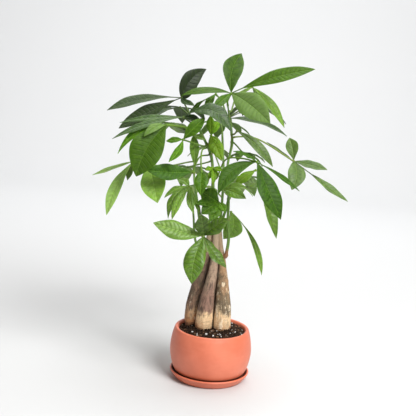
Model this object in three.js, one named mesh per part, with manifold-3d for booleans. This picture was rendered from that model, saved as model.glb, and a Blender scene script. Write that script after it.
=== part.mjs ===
// A potted money tree: five twisted stems in a terracotta pot with its saucer,
// green shoots at their tops and palmate leaves on long stalks.
// Millimetres, +Z up. The origin is the middle of the saucer's foot, where the plant rests.

import * as THREE from 'three';
import { mergeVertices } from 'three/addons/utils/BufferGeometryUtils.js';
import Module from 'manifold-3d';

const wasm = await Module();
wasm.setup();

// Driving dimensions
const POT_RADIUS = 62.5;
const POT_FOOT_RADIUS = 47;
const POT_TOP = 80;
const RIM_RADIUS = 57;
const MOUTH_RADIUS = 50.5;
const POT_FLOOR = 7;
const DRAIN_RADIUS = 6;
const SAUCER_FOOT_RADIUS = 50.5;
const SAUCER_RIM_RADIUS = 61;
const SAUCER_HEIGHT = 13.5;
const SAUCER_FLOOR = 5;
const SOIL_EDGE = 75;
const SOIL_HEAP = 8.6;
const GAP = 0.3;
const BLADE_THICKNESS = 0.7;
const HUB_RADIUS = 2.1;
const STALK_RADIUS = 1.15;

// The viewer that the front of the plant was measured from
const VIEW_DISTANCE = 1353;
const VIEW_PITCH = THREE.MathUtils.degToRad(10.5);
const AIM_ACROSS = -18.2;
const AIM_UP = 260.6;

// Finishes
const TERRACOTTA = { color: 0xc9654a, roughness: 0.75, metalness: 0 };
const SOIL = { color: 0x1c1612, roughness: 0.95, metalness: 0 };
const BARK = { color: 0x9c7c5a, roughness: 0.85, metalness: 0 };
const GREEN_STEM = { color: 0x5d8a35, roughness: 0.5, metalness: 0 };
const LEAF_TONES = {
  dark: { color: 0x23421c, roughness: 0.4, metalness: 0 },
  mid: { color: 0x3d6e22, roughness: 0.45, metalness: 0 },
  light: { color: 0x6f9a3d, roughness: 0.5, metalness: 0 },
  fresh: { color: 0x7fa62a, roughness: 0.5, metalness: 0 },
};

// Measuring from the front

const viewAcross = new THREE.Vector3(1, 0, 0);
const viewUp = new THREE.Vector3(0, Math.sin(VIEW_PITCH), Math.cos(VIEW_PITCH));
const viewBack = new THREE.Vector3(0, -Math.cos(VIEW_PITCH), Math.sin(VIEW_PITCH));
const viewer = new THREE.Vector3()
  .addScaledVector(viewAcross, AIM_ACROSS)
  .addScaledVector(viewUp, AIM_UP)
  .addScaledVector(viewBack, VIEW_DISTANCE);

// A point seen at (across, up) on the plane that faces the viewer through the foot,
// and standing `forward` in front of the middle of the pot.
function seen([across, up, forward]) {
  const onPlane = new THREE.Vector3()
    .addScaledVector(viewAcross, across)
    .addScaledVector(viewUp, up);
  const reach = (-forward - viewer.y) / (onPlane.y - viewer.y);
  return viewer.clone().lerp(onPlane, reach);
}

// A level direction, its angle from the front and growing towards the right
function level(degrees) {
  const angle = THREE.MathUtils.degToRad(degrees);
  return new THREE.Vector3(Math.sin(angle), -Math.cos(angle), 0);
}

// Solids and meshes

function solidFrom(positions, faces) {
  const vertProperties = new Float32Array(positions);
  const triVerts = new Uint32Array(faces);
  return new wasm.Manifold(new wasm.Mesh({ numProp: 3, vertProperties, triVerts }));
}

function solidOf(geometry) {
  const bare = geometry.index ? geometry.toNonIndexed() : geometry.clone();
  bare.deleteAttribute('normal');
  bare.deleteAttribute('uv');
  const merged = mergeVertices(bare, 1e-4);
  return solidFrom(merged.attributes.position.array, merged.index.array);
}

function joined(solids) {
  return solids.reduce((whole, solid) => whole.add(solid));
}

// The largest body of a solid: a loose scrap is dropped and a sealed hollow is filled.
function soundBody(solid) {
  const outer = solid.decompose().filter((body) => body.volume() > 0);
  outer.sort((a, b) => b.volume() - a.volume());
  return outer[0];
}

function meshOf(name, solid, finish) {
  const { vertProperties, triVerts, numProp } = solid.getMesh();
  const geometry = new THREE.BufferGeometry();
  const positions = new Float32Array((vertProperties.length / numProp) * 3);
  for (let i = 0; i < positions.length / 3; i += 1) {
    positions.set(vertProperties.subarray(i * numProp, i * numProp + 3), i * 3);
  }
  geometry.setAttribute('position', new THREE.BufferAttribute(positions, 3));
  geometry.setIndex(new THREE.BufferAttribute(new Uint32Array(triVerts), 1));
  geometry.computeVertexNormals();
  const mesh = new THREE.Mesh(geometry, new THREE.MeshStandardMaterial(finish));
  mesh.name = name;
  return mesh;
}

// A closed tube through rings of points, all alike in count
function loftSolid(rings) {
  const sides = rings[0].length;
  const positions = rings.flat().flatMap((p) => [p.x, p.y, p.z]);
  const faces = [];
  for (let i = 0; i < rings.length - 1; i += 1) {
    for (let j = 0; j < sides; j += 1) {
      const a = i * sides + j;
      const b = i * sides + ((j + 1) % sides);
      faces.push(a, b, b + sides, a, b + sides, a + sides);
    }
  }
  const last = (rings.length - 1) * sides;
  for (let j = 1; j < sides - 1; j += 1) {
    faces.push(0, j + 1, j);
    faces.push(last, last + j, last + j + 1);
  }
  return solidFrom(positions, faces);
}

// A round tube along points, with a radius at each of them; its foot faces along `footWay`.
function tubeSolid(points, radii, sides, footWay) {
  let across = new THREE.Vector3(1, 0, 0);
  const rings = points.map((point, i) => {
    const before = points[Math.max(i - 1, 0)];
    const after = points[Math.min(i + 1, points.length - 1)];
    const along = i === 0 ? footWay.clone() : after.clone().sub(before).normalize();
    if (Math.abs(along.dot(across)) > 0.95) {
      across = new THREE.Vector3(0, 1, 0);
    }
    across = across.clone().addScaledVector(along, -across.dot(along)).normalize();
    const over = along.clone().cross(across);
    return Array.from({ length: sides }, (_, j) => {
      const turn = (j / sides) * 2 * Math.PI;
      return point.clone()
        .addScaledVector(across, radii[i] * Math.cos(turn))
        .addScaledVector(over, radii[i] * Math.sin(turn));
    });
  });
  return loftSolid(rings);
}

function curveThrough(points) {
  return new THREE.CatmullRomCurve3(points, false, 'centripetal');
}

// Pot, saucer and soil

const ROUND = 36;
const SOIL_ROUND = 24;
const OUTSIDE_STEPS = 9;
const INSIDE_STEPS = 5;
const FLOOR_TOP = SAUCER_FLOOR + POT_FLOOR;

function latheGeometry(profile, segments) {
  const points = profile.map(([radius, z]) => new THREE.Vector2(radius, z));
  const geometry = new THREE.LatheGeometry(points, segments);
  geometry.rotateX(Math.PI / 2);
  return geometry;
}

// Points [radius, z] of a wall, evenly spaced on a smooth curve through a few stations
function wallThrough(stations, steps) {
  const curve = curveThrough(stations.map(([radius, z]) => new THREE.Vector3(radius, 0, z)));
  return curve.getSpacedPoints(steps).map((p) => [p.x, p.z]);
}

const outside = wallThrough([
  [POT_FOOT_RADIUS, SAUCER_FLOOR], [52.5, 10], [58.5, 22], [POT_RADIUS, 43], [61.4, 60],
  [58.6, 73], [RIM_RADIUS, 77.5],
], OUTSIDE_STEPS);
const inside = wallThrough([
  [43, FLOOR_TOP], [52.5, 22], [56.5, 43], [54.5, 62], [MOUTH_RADIUS, 75],
], INSIDE_STEPS);

function pot() {
  const lip = [
    [RIM_RADIUS - 1.2, POT_TOP - 0.4], [RIM_RADIUS - 3, POT_TOP], [MOUTH_RADIUS + 1, POT_TOP - 1.4],
  ];
  const wall = [
    [DRAIN_RADIUS, SAUCER_FLOOR], ...outside, ...lip, ...inside.toReversed(),
    [DRAIN_RADIUS, FLOOR_TOP], [DRAIN_RADIUS, SAUCER_FLOOR],
  ];
  return meshOf('pot', solidOf(latheGeometry(wall, ROUND)), TERRACOTTA);
}

function saucer() {
  const wall = [
    [0, 0], [SAUCER_FOOT_RADIUS, 0], [SAUCER_FOOT_RADIUS + 3, 1.2], [SAUCER_RIM_RADIUS - 3, 7.5],
    [SAUCER_RIM_RADIUS, 11.5], [SAUCER_RIM_RADIUS - 0.5, SAUCER_HEIGHT],
    [SAUCER_RIM_RADIUS - 2.6, SAUCER_HEIGHT], [SAUCER_RIM_RADIUS - 4, 11.5],
    [SAUCER_FOOT_RADIUS + 3, SAUCER_FLOOR + 0.8], [SAUCER_FOOT_RADIUS + 1, SAUCER_FLOOR], [0, SAUCER_FLOOR],
  ];
  return meshOf('saucer', solidOf(latheGeometry(wall, ROUND)), TERRACOTTA);
}

const CRUMB_HEIGHT = 0.7;
const LEVEL_BAND = 8;
const HEAP_FOOT = 50;
const HEAP_SHOULDER = 32;

// Height of the crumbly soil, which is level at the wall and heaped about the stems
function soilHeight(x, y) {
  const radius = Math.hypot(x, y);
  const crumbs = Math.sin(x * 0.42 + 1) * Math.cos(y * 0.37) + 0.6 * Math.sin(x * 0.9 - y * 0.8);
  const edge = Math.min(1, (MOUTH_RADIUS - radius) / LEVEL_BAND);
  const heap = THREE.MathUtils.smoothstep(HEAP_FOOT - radius, 0, HEAP_FOOT - HEAP_SHOULDER);
  return SOIL_EDGE + SOIL_HEAP * heap + CRUMB_HEIGHT * crumbs * edge;
}

function soilSolid() {
  const side = inside.map(([radius, z]) => [radius - 2 * GAP, z]).filter(([, z]) => z < SOIL_EDGE - 3);
  const top = [0.9, 0.76, 0.6, 0.36, 0.12, 0].map((part) => [part * MOUTH_RADIUS, SOIL_EDGE]);
  const geometry = latheGeometry(
    [[0, FLOOR_TOP], ...side, [MOUTH_RADIUS - 2 * GAP, SOIL_EDGE - 1], ...top],
    SOIL_ROUND,
  );
  const place = geometry.attributes.position;
  for (let i = 0; i < place.count; i += 1) {
    if (Math.abs(place.getZ(i) - SOIL_EDGE) < 0.1) {
      place.setZ(i, soilHeight(place.getX(i), place.getY(i)));
    }
  }
  return solidOf(geometry);
}

// Woody stems, foot to cut top, as rows of a seen point and the radius there.
// They stand apart in the soil and lean together as they rise.
const STEMS = {
  trunk_1: [
    [-13.5, 41, 19, 13.3], [-13, 82, 19, 13.2], [-11, 110, 18.5, 11.9], [-7.8, 138, 17, 9.2],
    [-3.6, 167, 14, 6.8], [-2.4, 190, 11.5, 5.3], [-3, 226, 9, 4.4],
  ],
  trunk_2: [
    [15.5, 42, 17, 13.5], [15, 83, 17, 13.4], [14.6, 112, 16, 12.1], [13, 140, 13, 9],
    [10.1, 168, 8, 6.6], [8.3, 184, 5, 5.6], [4.3, 203, 2, 4.8], [1.3, 226, -1, 4.3],
  ],
  trunk_3: [
    [-31.5, 45, -1, 13], [-31.2, 80, -1, 13.1], [-30.8, 109, -1, 12.1], [-27, 137, 0, 10],
    [-21.3, 166, 2, 7.8], [-17.6, 181, 3, 6.2], [-14.3, 202, 3, 5], [-12.5, 222, 3, 4.4],
  ],
  trunk_4: [
    [-14, 48, -21, 11.3], [-14, 86, -21, 11.3], [-14, 115, -19, 10.2], [-13.5, 145, -15, 8],
    [-12, 175, -11.5, 5.8], [-10, 205, -9, 4.6], [-9, 226, -8, 4.3],
  ],
  trunk_5: [
    [10, 48, -18, 11.3], [10, 86, -18, 11.3], [9.2, 115, -17, 10], [7, 145, -15, 7.8],
    [5, 175, -13, 5.6], [2.4, 205, -12, 4.6], [0, 224, -12, 4.2],
  ],
};

// Green shoots. `foot` is a stem, how far up it, and the side that the shoot leaves by; a shoot
// with no side stands on the stem's cut top. `path` is seen points, `radii` foot and tip.
const SHOOTS = {
  shoot_1: { foot: ['trunk_2', 0.8, 56], radii: [2.5, 1.1], path: [
    [17, 215, 12], [14, 244, 12], [13, 275, 10], [8, 328, 8], [13, 366, 6], [10, 380, 5], [2, 422, 5]] },
  shoot_2: { foot: ['trunk_1', 1, null], radii: [2.4, 1.5], path: [
    [-12, 290, 8], [-15, 323, 12], [-21, 351, 16], [-29, 363, 18], [-44, 388, 22], [-52, 399, 24]] },
  shoot_3: { foot: ['trunk_3', 0.78, -60], radii: [1.9, 1.3], path: [
    [-36, 215, 16], [-40, 248, 25], [-46, 287, 35]] },
  shoot_4: { foot: ['trunk_3', 0.92, -100], radii: [2.1, 1.4], path: [
    [-31, 245, 4], [-36, 272, 8], [-42, 300, 14], [-44, 326, 18]] },
  shoot_5: { foot: ['trunk_4', 1, null], radii: [2.3, 1.6], path: [
    [-13, 290, -24], [-16, 330, -36], [-28, 362, -48], [-50, 396, -62]] },
  shoot_6: { foot: ['trunk_5', 1, null], radii: [2.3, 1.6], path: [
    [13, 280, -24], [8, 328, -38], [12, 364, -50], [8, 400, -62]] },
  shoot_7: { foot: ['trunk_2', 1, null], radii: [2.2, 1.6], path: [
    [3, 270, -6], [2, 320, -28], [-4, 380, -58]] },
};

// What something can grow from, by name: its curve, the radii at its stations and its ring steps
const grown = {};

function radiusAt(name, part) {
  const { curve, radii } = grown[name];
  const place = curve.getUtoTmapping(part) * (radii.length - 1);
  const before = Math.min(Math.floor(place), radii.length - 2);
  return THREE.MathUtils.lerp(radii[before], radii[before + 1], place - before);
}

const STEM_STEPS = 10;
const STEM_SIDES = 11;
const UNEVEN = 0.035;
const SHOOT_SIDES = 6;
const SHOOT_STEP = 20;

// A stem made fatter by `extra`. Its section is slightly uneven, as on grown wood.
function stemSolid(name, extra) {
  const rings = Array.from({ length: STEM_STEPS + 1 }, (_, i) => {
    const part = i / STEM_STEPS;
    const centre = grown[name].curve.getPointAt(part);
    return Array.from({ length: STEM_SIDES }, (__, j) => {
      const turn = (j / STEM_SIDES) * 2 * Math.PI;
      const dent = UNEVEN * (1 + Math.sin(2 * turn + 3 * part + centre.x)) * 0.5;
      const around = radiusAt(name, part) * (1 - dent) + extra;
      return centre.clone().add(new THREE.Vector3(around * Math.cos(turn), around * Math.sin(turn), 0));
    });
  });
  return loftSolid(rings);
}

function shootFoot({ foot: [stem, part, side], radii: [radius] }) {
  const centre = grown[stem].curve.getPointAt(part);
  if (side === null) {
    return centre.add(new THREE.Vector3(0, 0, GAP));
  }
  return centre.addScaledVector(level(side), radiusAt(stem, part) + radius + GAP);
}

function shootSolid(name) {
  const { curve, steps } = grown[name];
  const points = curve.getSpacedPoints(steps);
  const radii = points.map((_, i) => radiusAt(name, i / steps));
  return tubeSolid(points, radii, SHOOT_SIDES, new THREE.Vector3(0, 0, 1));
}

// Leaves

// Half the width of a leaflet at t along it, as a part of its widest half.
// A larger skew brings the widest place nearer to the tip.
function outline(t, skew) {
  return Math.sin(Math.PI * t ** skew) ** 0.9;
}

const SHORT_BLADE = 70;
const SHORT_STOPS = [0.2, 0.52, 0.84];
const LONG_STOPS = [0.14, 0.38, 0.64, 0.86];
const FOLD = Math.tan(THREE.MathUtils.degToRad(14));
const NECK_WIDTH = 1.8;
const USUAL_SKEW = 1.15;

// One leaflet from base to tip. `facing` is the way its upper side looks. It arches towards
// that side by `arch`, sweeps sideways by `sweep`, is folded along its midrib, and the `neck`
// part of its length is bare.
function bladeSolid(base, tip, facing, { width, arch, sweep, neck = 0, skew = USUAL_SKEW }) {
  const chord = tip.clone().sub(base);
  const along = chord.clone().normalize();
  const normal = facing.clone().addScaledVector(along, -facing.dot(along)).normalize();
  const side = normal.clone().cross(along);
  const positions = [];
  const rowAt = (t, half) => {
    const bulge = 4 * t * (1 - t);
    const slope = (4 * (1 - 2 * t) * arch) / chord.length();
    const middle = base.clone().addScaledVector(chord, t)
      .addScaledVector(normal, arch * bulge).addScaledVector(side, sweep * bulge);
    const upright = normal.clone().addScaledVector(along, -slope).normalize();
    const signs = half > 0 ? [1, 0, -1] : [0];
    return signs.map((sign) => {
      const rise = Math.abs(sign) * half * FOLD;
      const top = middle.clone().addScaledVector(side, sign * half).addScaledVector(upright, rise);
      const under = top.clone().addScaledVector(upright, -BLADE_THICKNESS);
      positions.push(top.x, top.y, top.z, under.x, under.y, under.z);
      return [positions.length / 3 - 2, positions.length / 3 - 1];
    });
  };
  const stops = chord.length() < SHORT_BLADE ? SHORT_STOPS : LONG_STOPS;
  const [first] = rowAt(0, 0);
  const rows = neck > 0 ? [rowAt(neck, NECK_WIDTH / 2)] : [];
  stops.forEach((stop) => rows.push(rowAt(neck + (1 - neck) * stop, (width / 2) * outline(stop, skew))));
  const [last] = rowAt(1, 0);
  const faces = [];
  const quad = (a, b, c, d) => faces.push(a, b, c, a, c, d);
  for (let i = 0; i < rows.length - 1; i += 1) {
    const near = rows[i];
    const far = rows[i + 1];
    for (let j = 0; j < 2; j += 1) {
      quad(near[j][0], near[j + 1][0], far[j + 1][0], far[j][0]);
      faces.push(near[j][1], far[j + 1][1], near[j + 1][1], near[j][1], far[j][1], far[j + 1][1]);
    }
    quad(near[0][1], near[0][0], far[0][0], far[0][1]);
    quad(near[2][0], near[2][1], far[2][1], far[2][0]);
  }
  [[first, rows[0], 1], [last, rows[rows.length - 1], -1]].forEach(([point, row, way]) => {
    const tri = (a, b, c) => (way > 0 ? faces.push(a, b, c) : faces.push(a, c, b));
    for (let j = 0; j < 2; j += 1) {
      tri(point[0], row[j + 1][0], row[j][0]);
      tri(point[1], row[j][1], row[j + 1][1]);
    }
    tri(point[0], row[0][0], row[0][1]);
    tri(point[0], row[0][1], point[1]);
    tri(point[0], row[2][1], row[2][0]);
    tri(point[0], point[1], row[2][1]);
  });
  return solidFrom(positions, faces);
}

// The way a leaflet's upper side looks when it is turned from facing the viewer.
// A positive turn tips it towards the leaflet's own left.
function facingOf(base, tip, turn) {
  const along = tip.clone().sub(base).normalize();
  const toViewer = viewer.clone().sub(base).normalize();
  toViewer.addScaledVector(along, -toViewer.dot(along)).normalize();
  const left = toViewer.clone().cross(along);
  const angle = THREE.MathUtils.degToRad(turn);
  return toViewer.multiplyScalar(Math.cos(angle)).addScaledVector(left, Math.sin(angle));
}

// Leaves read from the front. `on` is the shoot or stem and how far along it the stalk starts,
// `via` are points that the stalk passes, `hub` is where the leaflets meet. A blade is
// [across, up, forward of its tip, width, turn, arch, sweep, neck, skew].
const FRONT_LEAVES = {
  leaf_01: { tone: 'mid', on: ['shoot_1', 1], via: [], hub: [6, 441, 15], blades: [
    [18, 504, -15, 30, -10, 5, 8],
    [134, 487, 25, 22, 28, 7, 2, 0.12, 1.2],
    [-71, 432, 32, 20, -60, 7, 0],
    [70, 398, 72, 37, 15, 7, 2, 0, 1.1],
    [-21, 413, 48, 14, -20, 3, 0],
    [4, 465, -85, 18, -10, 8, 0],
  ] },
  leaf_02: { tone: 'light', on: ['shoot_1', 0.96], via: [[16, 440, -14]], hub: [38, 453, -20], blades: [
    [92, 393, -25, 17, 40, 2, 5],
    [18, 441, -5, 5, 0, 2, 0],
    [52, 428, -60, 14, 20, 4, 0],
  ] },
  leaf_03: { tone: 'dark', on: ['shoot_2', 1], via: [], hub: [-71, 429, 14], blades: [
    [-35, 476, -10, 28, -18, 5, 9, 0, 0.65],
    [-185, 402, 20, 21, -50, 5, -5, 0.04, 1.5],
    [-165, 375, 15, 28, -43, 0, -3, 0.06, 1.35],
    [-50, 418, 50, 13, 45, 0, -3],
    [-53, 454, -70, 18, 0, 8, 0],
  ] },
  leaf_04: { tone: 'dark', on: ['shoot_2', 0.96], via: [], hub: [-66, 399, 42], blades: [
    [-174, 358, 66, 13, -45, 7, -1],
    [-164, 384, 45, 12, -50, 4, 0],
    [11, 380, 64, 29, 45, 18, 12, 0, 1.3],
    [-38, 394, 36, 12, 30, 3, 0],
  ] },
  leaf_05: { tone: 'mid', on: ['shoot_1', 0.93], via: [[-8, 428, -8]], hub: [-18, 438, -5], blades: [
    [-58, 405, -15, 13, -65, 3, 0, 0.3],
    [-33, 412, 10, 12, -30, 3, 0],
  ] },
  leaf_06: { tone: 'dark', on: ['shoot_1', 0.89], via: [], hub: [4, 402, -12], blades: [
    [97, 380, -20, 20, 66, 8, 0, 0.03, 1],
    [48, 420, -75, 22, 20, 8, 0, 0.25],
  ] },
  leaf_07: { tone: 'mid', on: ['shoot_2', 0.92], via: [[-75, 385, 48]], hub: [-91, 385, 54], blades: [
    [-133, 302, 75, 47, -8, 8, -6],
    [-125, 365, 76, 13, -35, 5, -2],
    [-164, 335, 62, 12, -30, 6, -11],
  ] },
  leaf_08: { tone: 'light', on: ['shoot_4', 1], via: [[-90, 321, 8]], hub: [-138, 326, 12], blades: [
    [-201, 300, 5, 16, -68, 0, 2],
    [-175, 239, 45, 17, -12, 8, -5, 0, 1.4],
    [-146, 295, 20, 11, -30, 2, 0],
    [-125, 345, -50, 24, -10, 5, 0],
  ] },
  leaf_09: { tone: 'mid', on: ['shoot_2', 0.75], via: [], hub: [-64, 364, 60], blades: [
    [-84, 328, 80, 13, -30, 0, 4],
    [-90, 360, 55, 13, -50, 1, 0],
    [-32, 400, 56, 18, 10, 4, 0],
  ] },
  leaf_10: { tone: 'light', on: ['shoot_2', 0.82], via: [], hub: [-48, 372, 26], blades: [
    [-43, 324, 24, 14, 10, 2, 0, 0, 0.75],
    [-88, 384, 15, 20, -45, 3, 0],
    [-30, 366, 42, 10, 30, 2, 0],
  ] },
  leaf_11: { tone: 'mid', on: ['shoot_2', 0.66], via: [[-36, 339, 34]], hub: [-46, 315, 50], blades: [
    [-118, 313, 72, 24, -15, 1, 2],
  ] },
  leaf_12: { tone: 'light', on: ['shoot_4', 0.9], via: [[-80, 314, 20]], hub: [-114, 325, 24], blades: [
    [-97, 263, 60, 37, -10, 5, 1],
  ] },
  leaf_13: { tone: 'light', on: ['shoot_3', 1], via: [], hub: [-49, 292, 42], blades: [
    [-87, 272, 50, 14, -55, 5, 0],
    [-79, 240, 70, 14, -40, 12, -3],
    [-73, 239, 58, 12, -10, 8, -3],
    [-40, 250, 60, 11, 15, 3, -3],
    [-28, 247, 45, 7, 10, 3, 0],
    [-66, 302, 25, 15, -40, 3, 0],
  ] },
  leaf_14: { tone: 'mid', on: ['shoot_2', 0.73], via: [[-33, 350, 40], [-34, 333, 58]], hub: [-32, 316, 66],
    blades: [[-31, 279, 78, 19, 0, 3, 0, 0, 0.8]] },
  leaf_15: { tone: 'mid', on: ['shoot_2', 0.2], via: [], hub: [-2, 270, 30], blades: [
    [-31, 286, 42, 28, 0, 4, 0],
    [-38, 266, 52, 14, -30, 3, 0],
    [-28, 250, 56, 22, -20, 4, 0],
    [-14, 239, 58, 18, 0, 3, 0],
    [9, 256, 45, 14, 20, 3, 0],
  ] },
  leaf_16: { tone: 'fresh', on: ['shoot_2', 0.47], via: [], hub: [-15, 323, 55], blades: [
    [-27, 319, 65, 8, -20, 2, 0],
    [1, 320, 66, 9, 30, 2, 0],
    [-13, 297, 70, 8, 20, 3, 0],
    [-20, 305, 60, 7, 0, 2, 0],
    [-6, 310, 50, 7, 0, 2, 0],
  ] },
  leaf_17: { tone: 'fresh', on: ['shoot_2', 0.7], via: [], hub: [-21, 373, 24], blades: [
    [-24, 405, 25, 13, 0, 3, 0],
    [-2, 335, 42, 20, 10, 5, 0, 0, 0.85],
    [-10, 397, 10, 12, 20, 3, 0],
    [-14, 352, 36, 12, 0, 3, 0],
  ] },
  leaf_18: { tone: 'light', on: ['trunk_3', 0.85], via: [], hub: [-22, 217, 62], blades: [
    [-102, 232, 70, 28, -22, 0, 2],
    [-36, 141, 85, 31, -5, 6, -4],
    [16, 170, 72, 22, 45, 0, -3],
    [15, 246, 75, 24, 30, 4, 0],
    [-28, 250, 78, 24, -10, 3, 0],
  ] },
  leaf_19: { tone: 'light', on: ['shoot_1', 0.25], via: [], hub: [18, 257, -2], blades: [
    [9, 214, 2, 29, 12, 4, 9],
    [72, 162, 10, 16, 50, 3, 13, 0.15, 1.7],
  ] },
  leaf_20: { tone: 'light', on: ['shoot_1', 0.42], via: [], hub: [2, 292, 30], blades: [
    [40, 279, 48, 17, 25, 3, 0],
    [39, 297, 35, 14, 30, 3, 0],
  ] },
  leaf_21: { tone: 'fresh', on: ['shoot_1', 0.52], via: [], hub: [52, 324, 18], blades: [
    [21, 298, 30, 15, -25, 3, 0],
  ] },
  leaf_22: { tone: 'light', on: ['shoot_1', 0.46], via: [], hub: [64, 300, 5], blades: [
    [31, 304, 10, 18, -40, 3, 0],
    [91, 220, 30, 19, 35, 7, -3],
  ] },
  leaf_23: { tone: 'mid', on: ['shoot_2', 0.45], via: [[5, 338, 34], [30, 341, 50]], hub: [53, 337, 58],
    blades: [
      [15, 351, 70, 11, -62, 3, 0],
      [-4, 283, 88, 24, -25, 6, -11],
      [96, 250, 85, 32, 30, 6, -4],
      [122, 296, 50, 16, 65, 0, 5, 0.1, 1.35],
    ] },
  leaf_24: { tone: 'mid', on: ['shoot_1', 0.79], via: [[47, 374, -2]], hub: [110, 342, -5], blades: [
    [101, 378, -15, 19, 5, 3, -2, 0, 1.35],
    [163, 332, 10, 18, 48, 1, 0],
    [110, 297, 25, 27, 10, 4, 5, 0, 1],
    [198, 285, 0, 13, 40, -2, 2, 0.3],
    [66, 369, -45, 10, -68, 0, 0],
  ] },
  leaf_25: { tone: 'mid', on: ['shoot_1', 0.81], via: [], hub: [19, 383, 14], blades: [
    [78, 331, 30, 17, 32, 9, 1],
  ] },
};

// Leaves of the far side, each a fan of leaflets about its hub. `heading` is where the
// middle leaflet points, its angle from the front and growing towards the right.
const BACK_LEAVES = {
  leaf_26: { tone: 'dark', on: ['shoot_5', 1], hub: [-72, 414, -76], heading: 215, count: 5, length: 84 },
  leaf_27: { tone: 'mid', on: ['shoot_5', 0.85], hub: [-80, 388, -48], heading: 245, count: 5, length: 62 },
  leaf_28: { tone: 'mid', on: ['shoot_5', 0.6], hub: [-54, 322, -82], heading: 190, count: 5, length: 86 },
  leaf_29: { tone: 'dark', on: ['shoot_6', 1], hub: [42, 428, -80], heading: 160, count: 5, length: 74 },
  leaf_30: { tone: 'mid', on: ['shoot_6', 0.8], hub: [30, 350, -72], heading: 152, count: 5, length: 46 },
  leaf_31: { tone: 'mid', on: ['shoot_6', 0.5], hub: [34, 312, -86], heading: 156, count: 5, length: 70 },
  leaf_32: { tone: 'mid', on: ['shoot_7', 1], hub: [-8, 396, -100], heading: 184, count: 5, length: 72 },
  leaf_33: { tone: 'light', on: ['shoot_7', 0.6], hub: [-18, 356, -99], heading: 182, count: 5, length: 54 },
  leaf_34: { tone: 'light', on: ['shoot_5', 0.3], hub: [-32, 294, -62], heading: 190, count: 5, length: 62 },
  leaf_35: { tone: 'light', on: ['shoot_6', 0.3], hub: [22, 300, -56], heading: 160, count: 5, length: 42 },
};

// The fans' sizes: degrees from first to last leaflet, degrees of droop, and each part of length
// that a leaflet's width, its arch and the shortening of the outermost ones take
const FAN_SPREAD = 150;
const FAN_DROOP = 24;
const FAN_WIDTH = 0.32;
const FAN_ARCH = 0.1;
const FAN_TAPER = 0.225;

// How far leaflets stray from the rule: in length, degrees of droop, degrees of heading, sweep in mm
const STRAY = { length: 0.16, droop: 16, heading: 8, sweep: 6 };

// A repeatable draw from 0 to 1
function draw(seed) {
  const value = Math.sin(seed * 12.9898 + 78.233) * 43758.5453;
  return value - Math.floor(value);
}

function fanBlades(hub, { heading, count, length }, seed) {
  return Array.from({ length: count }, (_, i) => {
    const aside = (2 * i) / (count - 1) - 1;
    const chance = draw(seed * 10 + i) - 0.5;
    const other = draw(seed * 10 + i + 5) - 0.5;
    const reach = length * (1 - FAN_TAPER * aside * aside) * (1 + STRAY.length * chance);
    const droop = THREE.MathUtils.degToRad(FAN_DROOP + STRAY.droop * other);
    const way = level(heading + (FAN_SPREAD / 2) * aside + STRAY.heading * chance);
    const tip = hub.clone().addScaledVector(way, reach * Math.cos(droop));
    tip.z -= reach * Math.sin(droop);
    const shape = { width: FAN_WIDTH * reach, arch: FAN_ARCH * reach, sweep: STRAY.sweep * chance };
    return bladeSolid(hub, tip, new THREE.Vector3(0, 0, 1), shape);
  });
}

function frontBlades(hub, rows) {
  return rows.map(([across, up, forward, width, turn, arch, sweep, neck, skew]) => {
    const tip = seen([across, up, forward]);
    return bladeSolid(hub, tip, facingOf(hub, tip, turn), { width, arch, sweep, neck, skew });
  });
}

const STALK_SIDES = 5;
const STALK_STEP = 16;
const KNEE = 4;

// The middle of a run at `part` of its length, between the rings that it is made of, and its way there
function placeOn(name, part) {
  const { curve, steps } = grown[name];
  const below = Math.min(Math.floor(part * steps), steps - 1);
  const from = curve.getPointAt(below / steps);
  const to = curve.getPointAt((below + 1) / steps);
  return { start: from.clone().lerp(to, part * steps - below), grow: to.sub(from).normalize() };
}

// A stalk from just clear of what it grows on, through its points, to the hub
function stalkSolid([name, part], via, hub) {
  const { start, grow } = placeOn(name, part);
  const away = (via.length ? seen(via[0]) : hub).clone().sub(start);
  if (part < 1) {
    away.addScaledVector(grow, -away.dot(grow));
  } else {
    away.copy(grow);
  }
  away.normalize();
  const clear = (part < 1 ? radiusAt(name, part) : 0) + 1.5 * GAP;
  const foot = start.clone().addScaledVector(away, clear);
  const knee = foot.clone().addScaledVector(away, KNEE);
  const run = curveThrough([foot, knee, ...via.map(seen), hub]);
  const points = run.getSpacedPoints(Math.max(3, Math.round(run.getLength() / STALK_STEP)));
  return tubeSolid(points, points.map(() => STALK_RADIUS), STALK_SIDES, away);
}

function hubSolid(centre) {
  const ball = new THREE.OctahedronGeometry(HUB_RADIUS, 0);
  ball.translate(centre.x, centre.y, centre.z);
  return solidOf(ball);
}

function leafMesh(name, { tone, on, via = [] }, hub, blades) {
  const whole = joined([stalkSolid(on, via, hub), hubSolid(hub), ...blades]);
  return meshOf(name, soundBody(whole), LEAF_TONES[tone]);
}

// The whole plant

const plant = new THREE.Group();
plant.add(saucer());
plant.add(pot());

Object.entries(STEMS).forEach(([name, rows]) => {
  grown[name] = { curve: curveThrough(rows.map(seen)), radii: rows.map((row) => row[3]), steps: STEM_STEPS };
});
Object.entries(SHOOTS).forEach(([name, shoot]) => {
  const curve = curveThrough([shootFoot(shoot), ...shoot.path.map(seen)]);
  const steps = Math.max(5, Math.round(curve.getLength() / SHOOT_STEP));
  grown[name] = { curve, radii: shoot.radii, steps };
});

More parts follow.
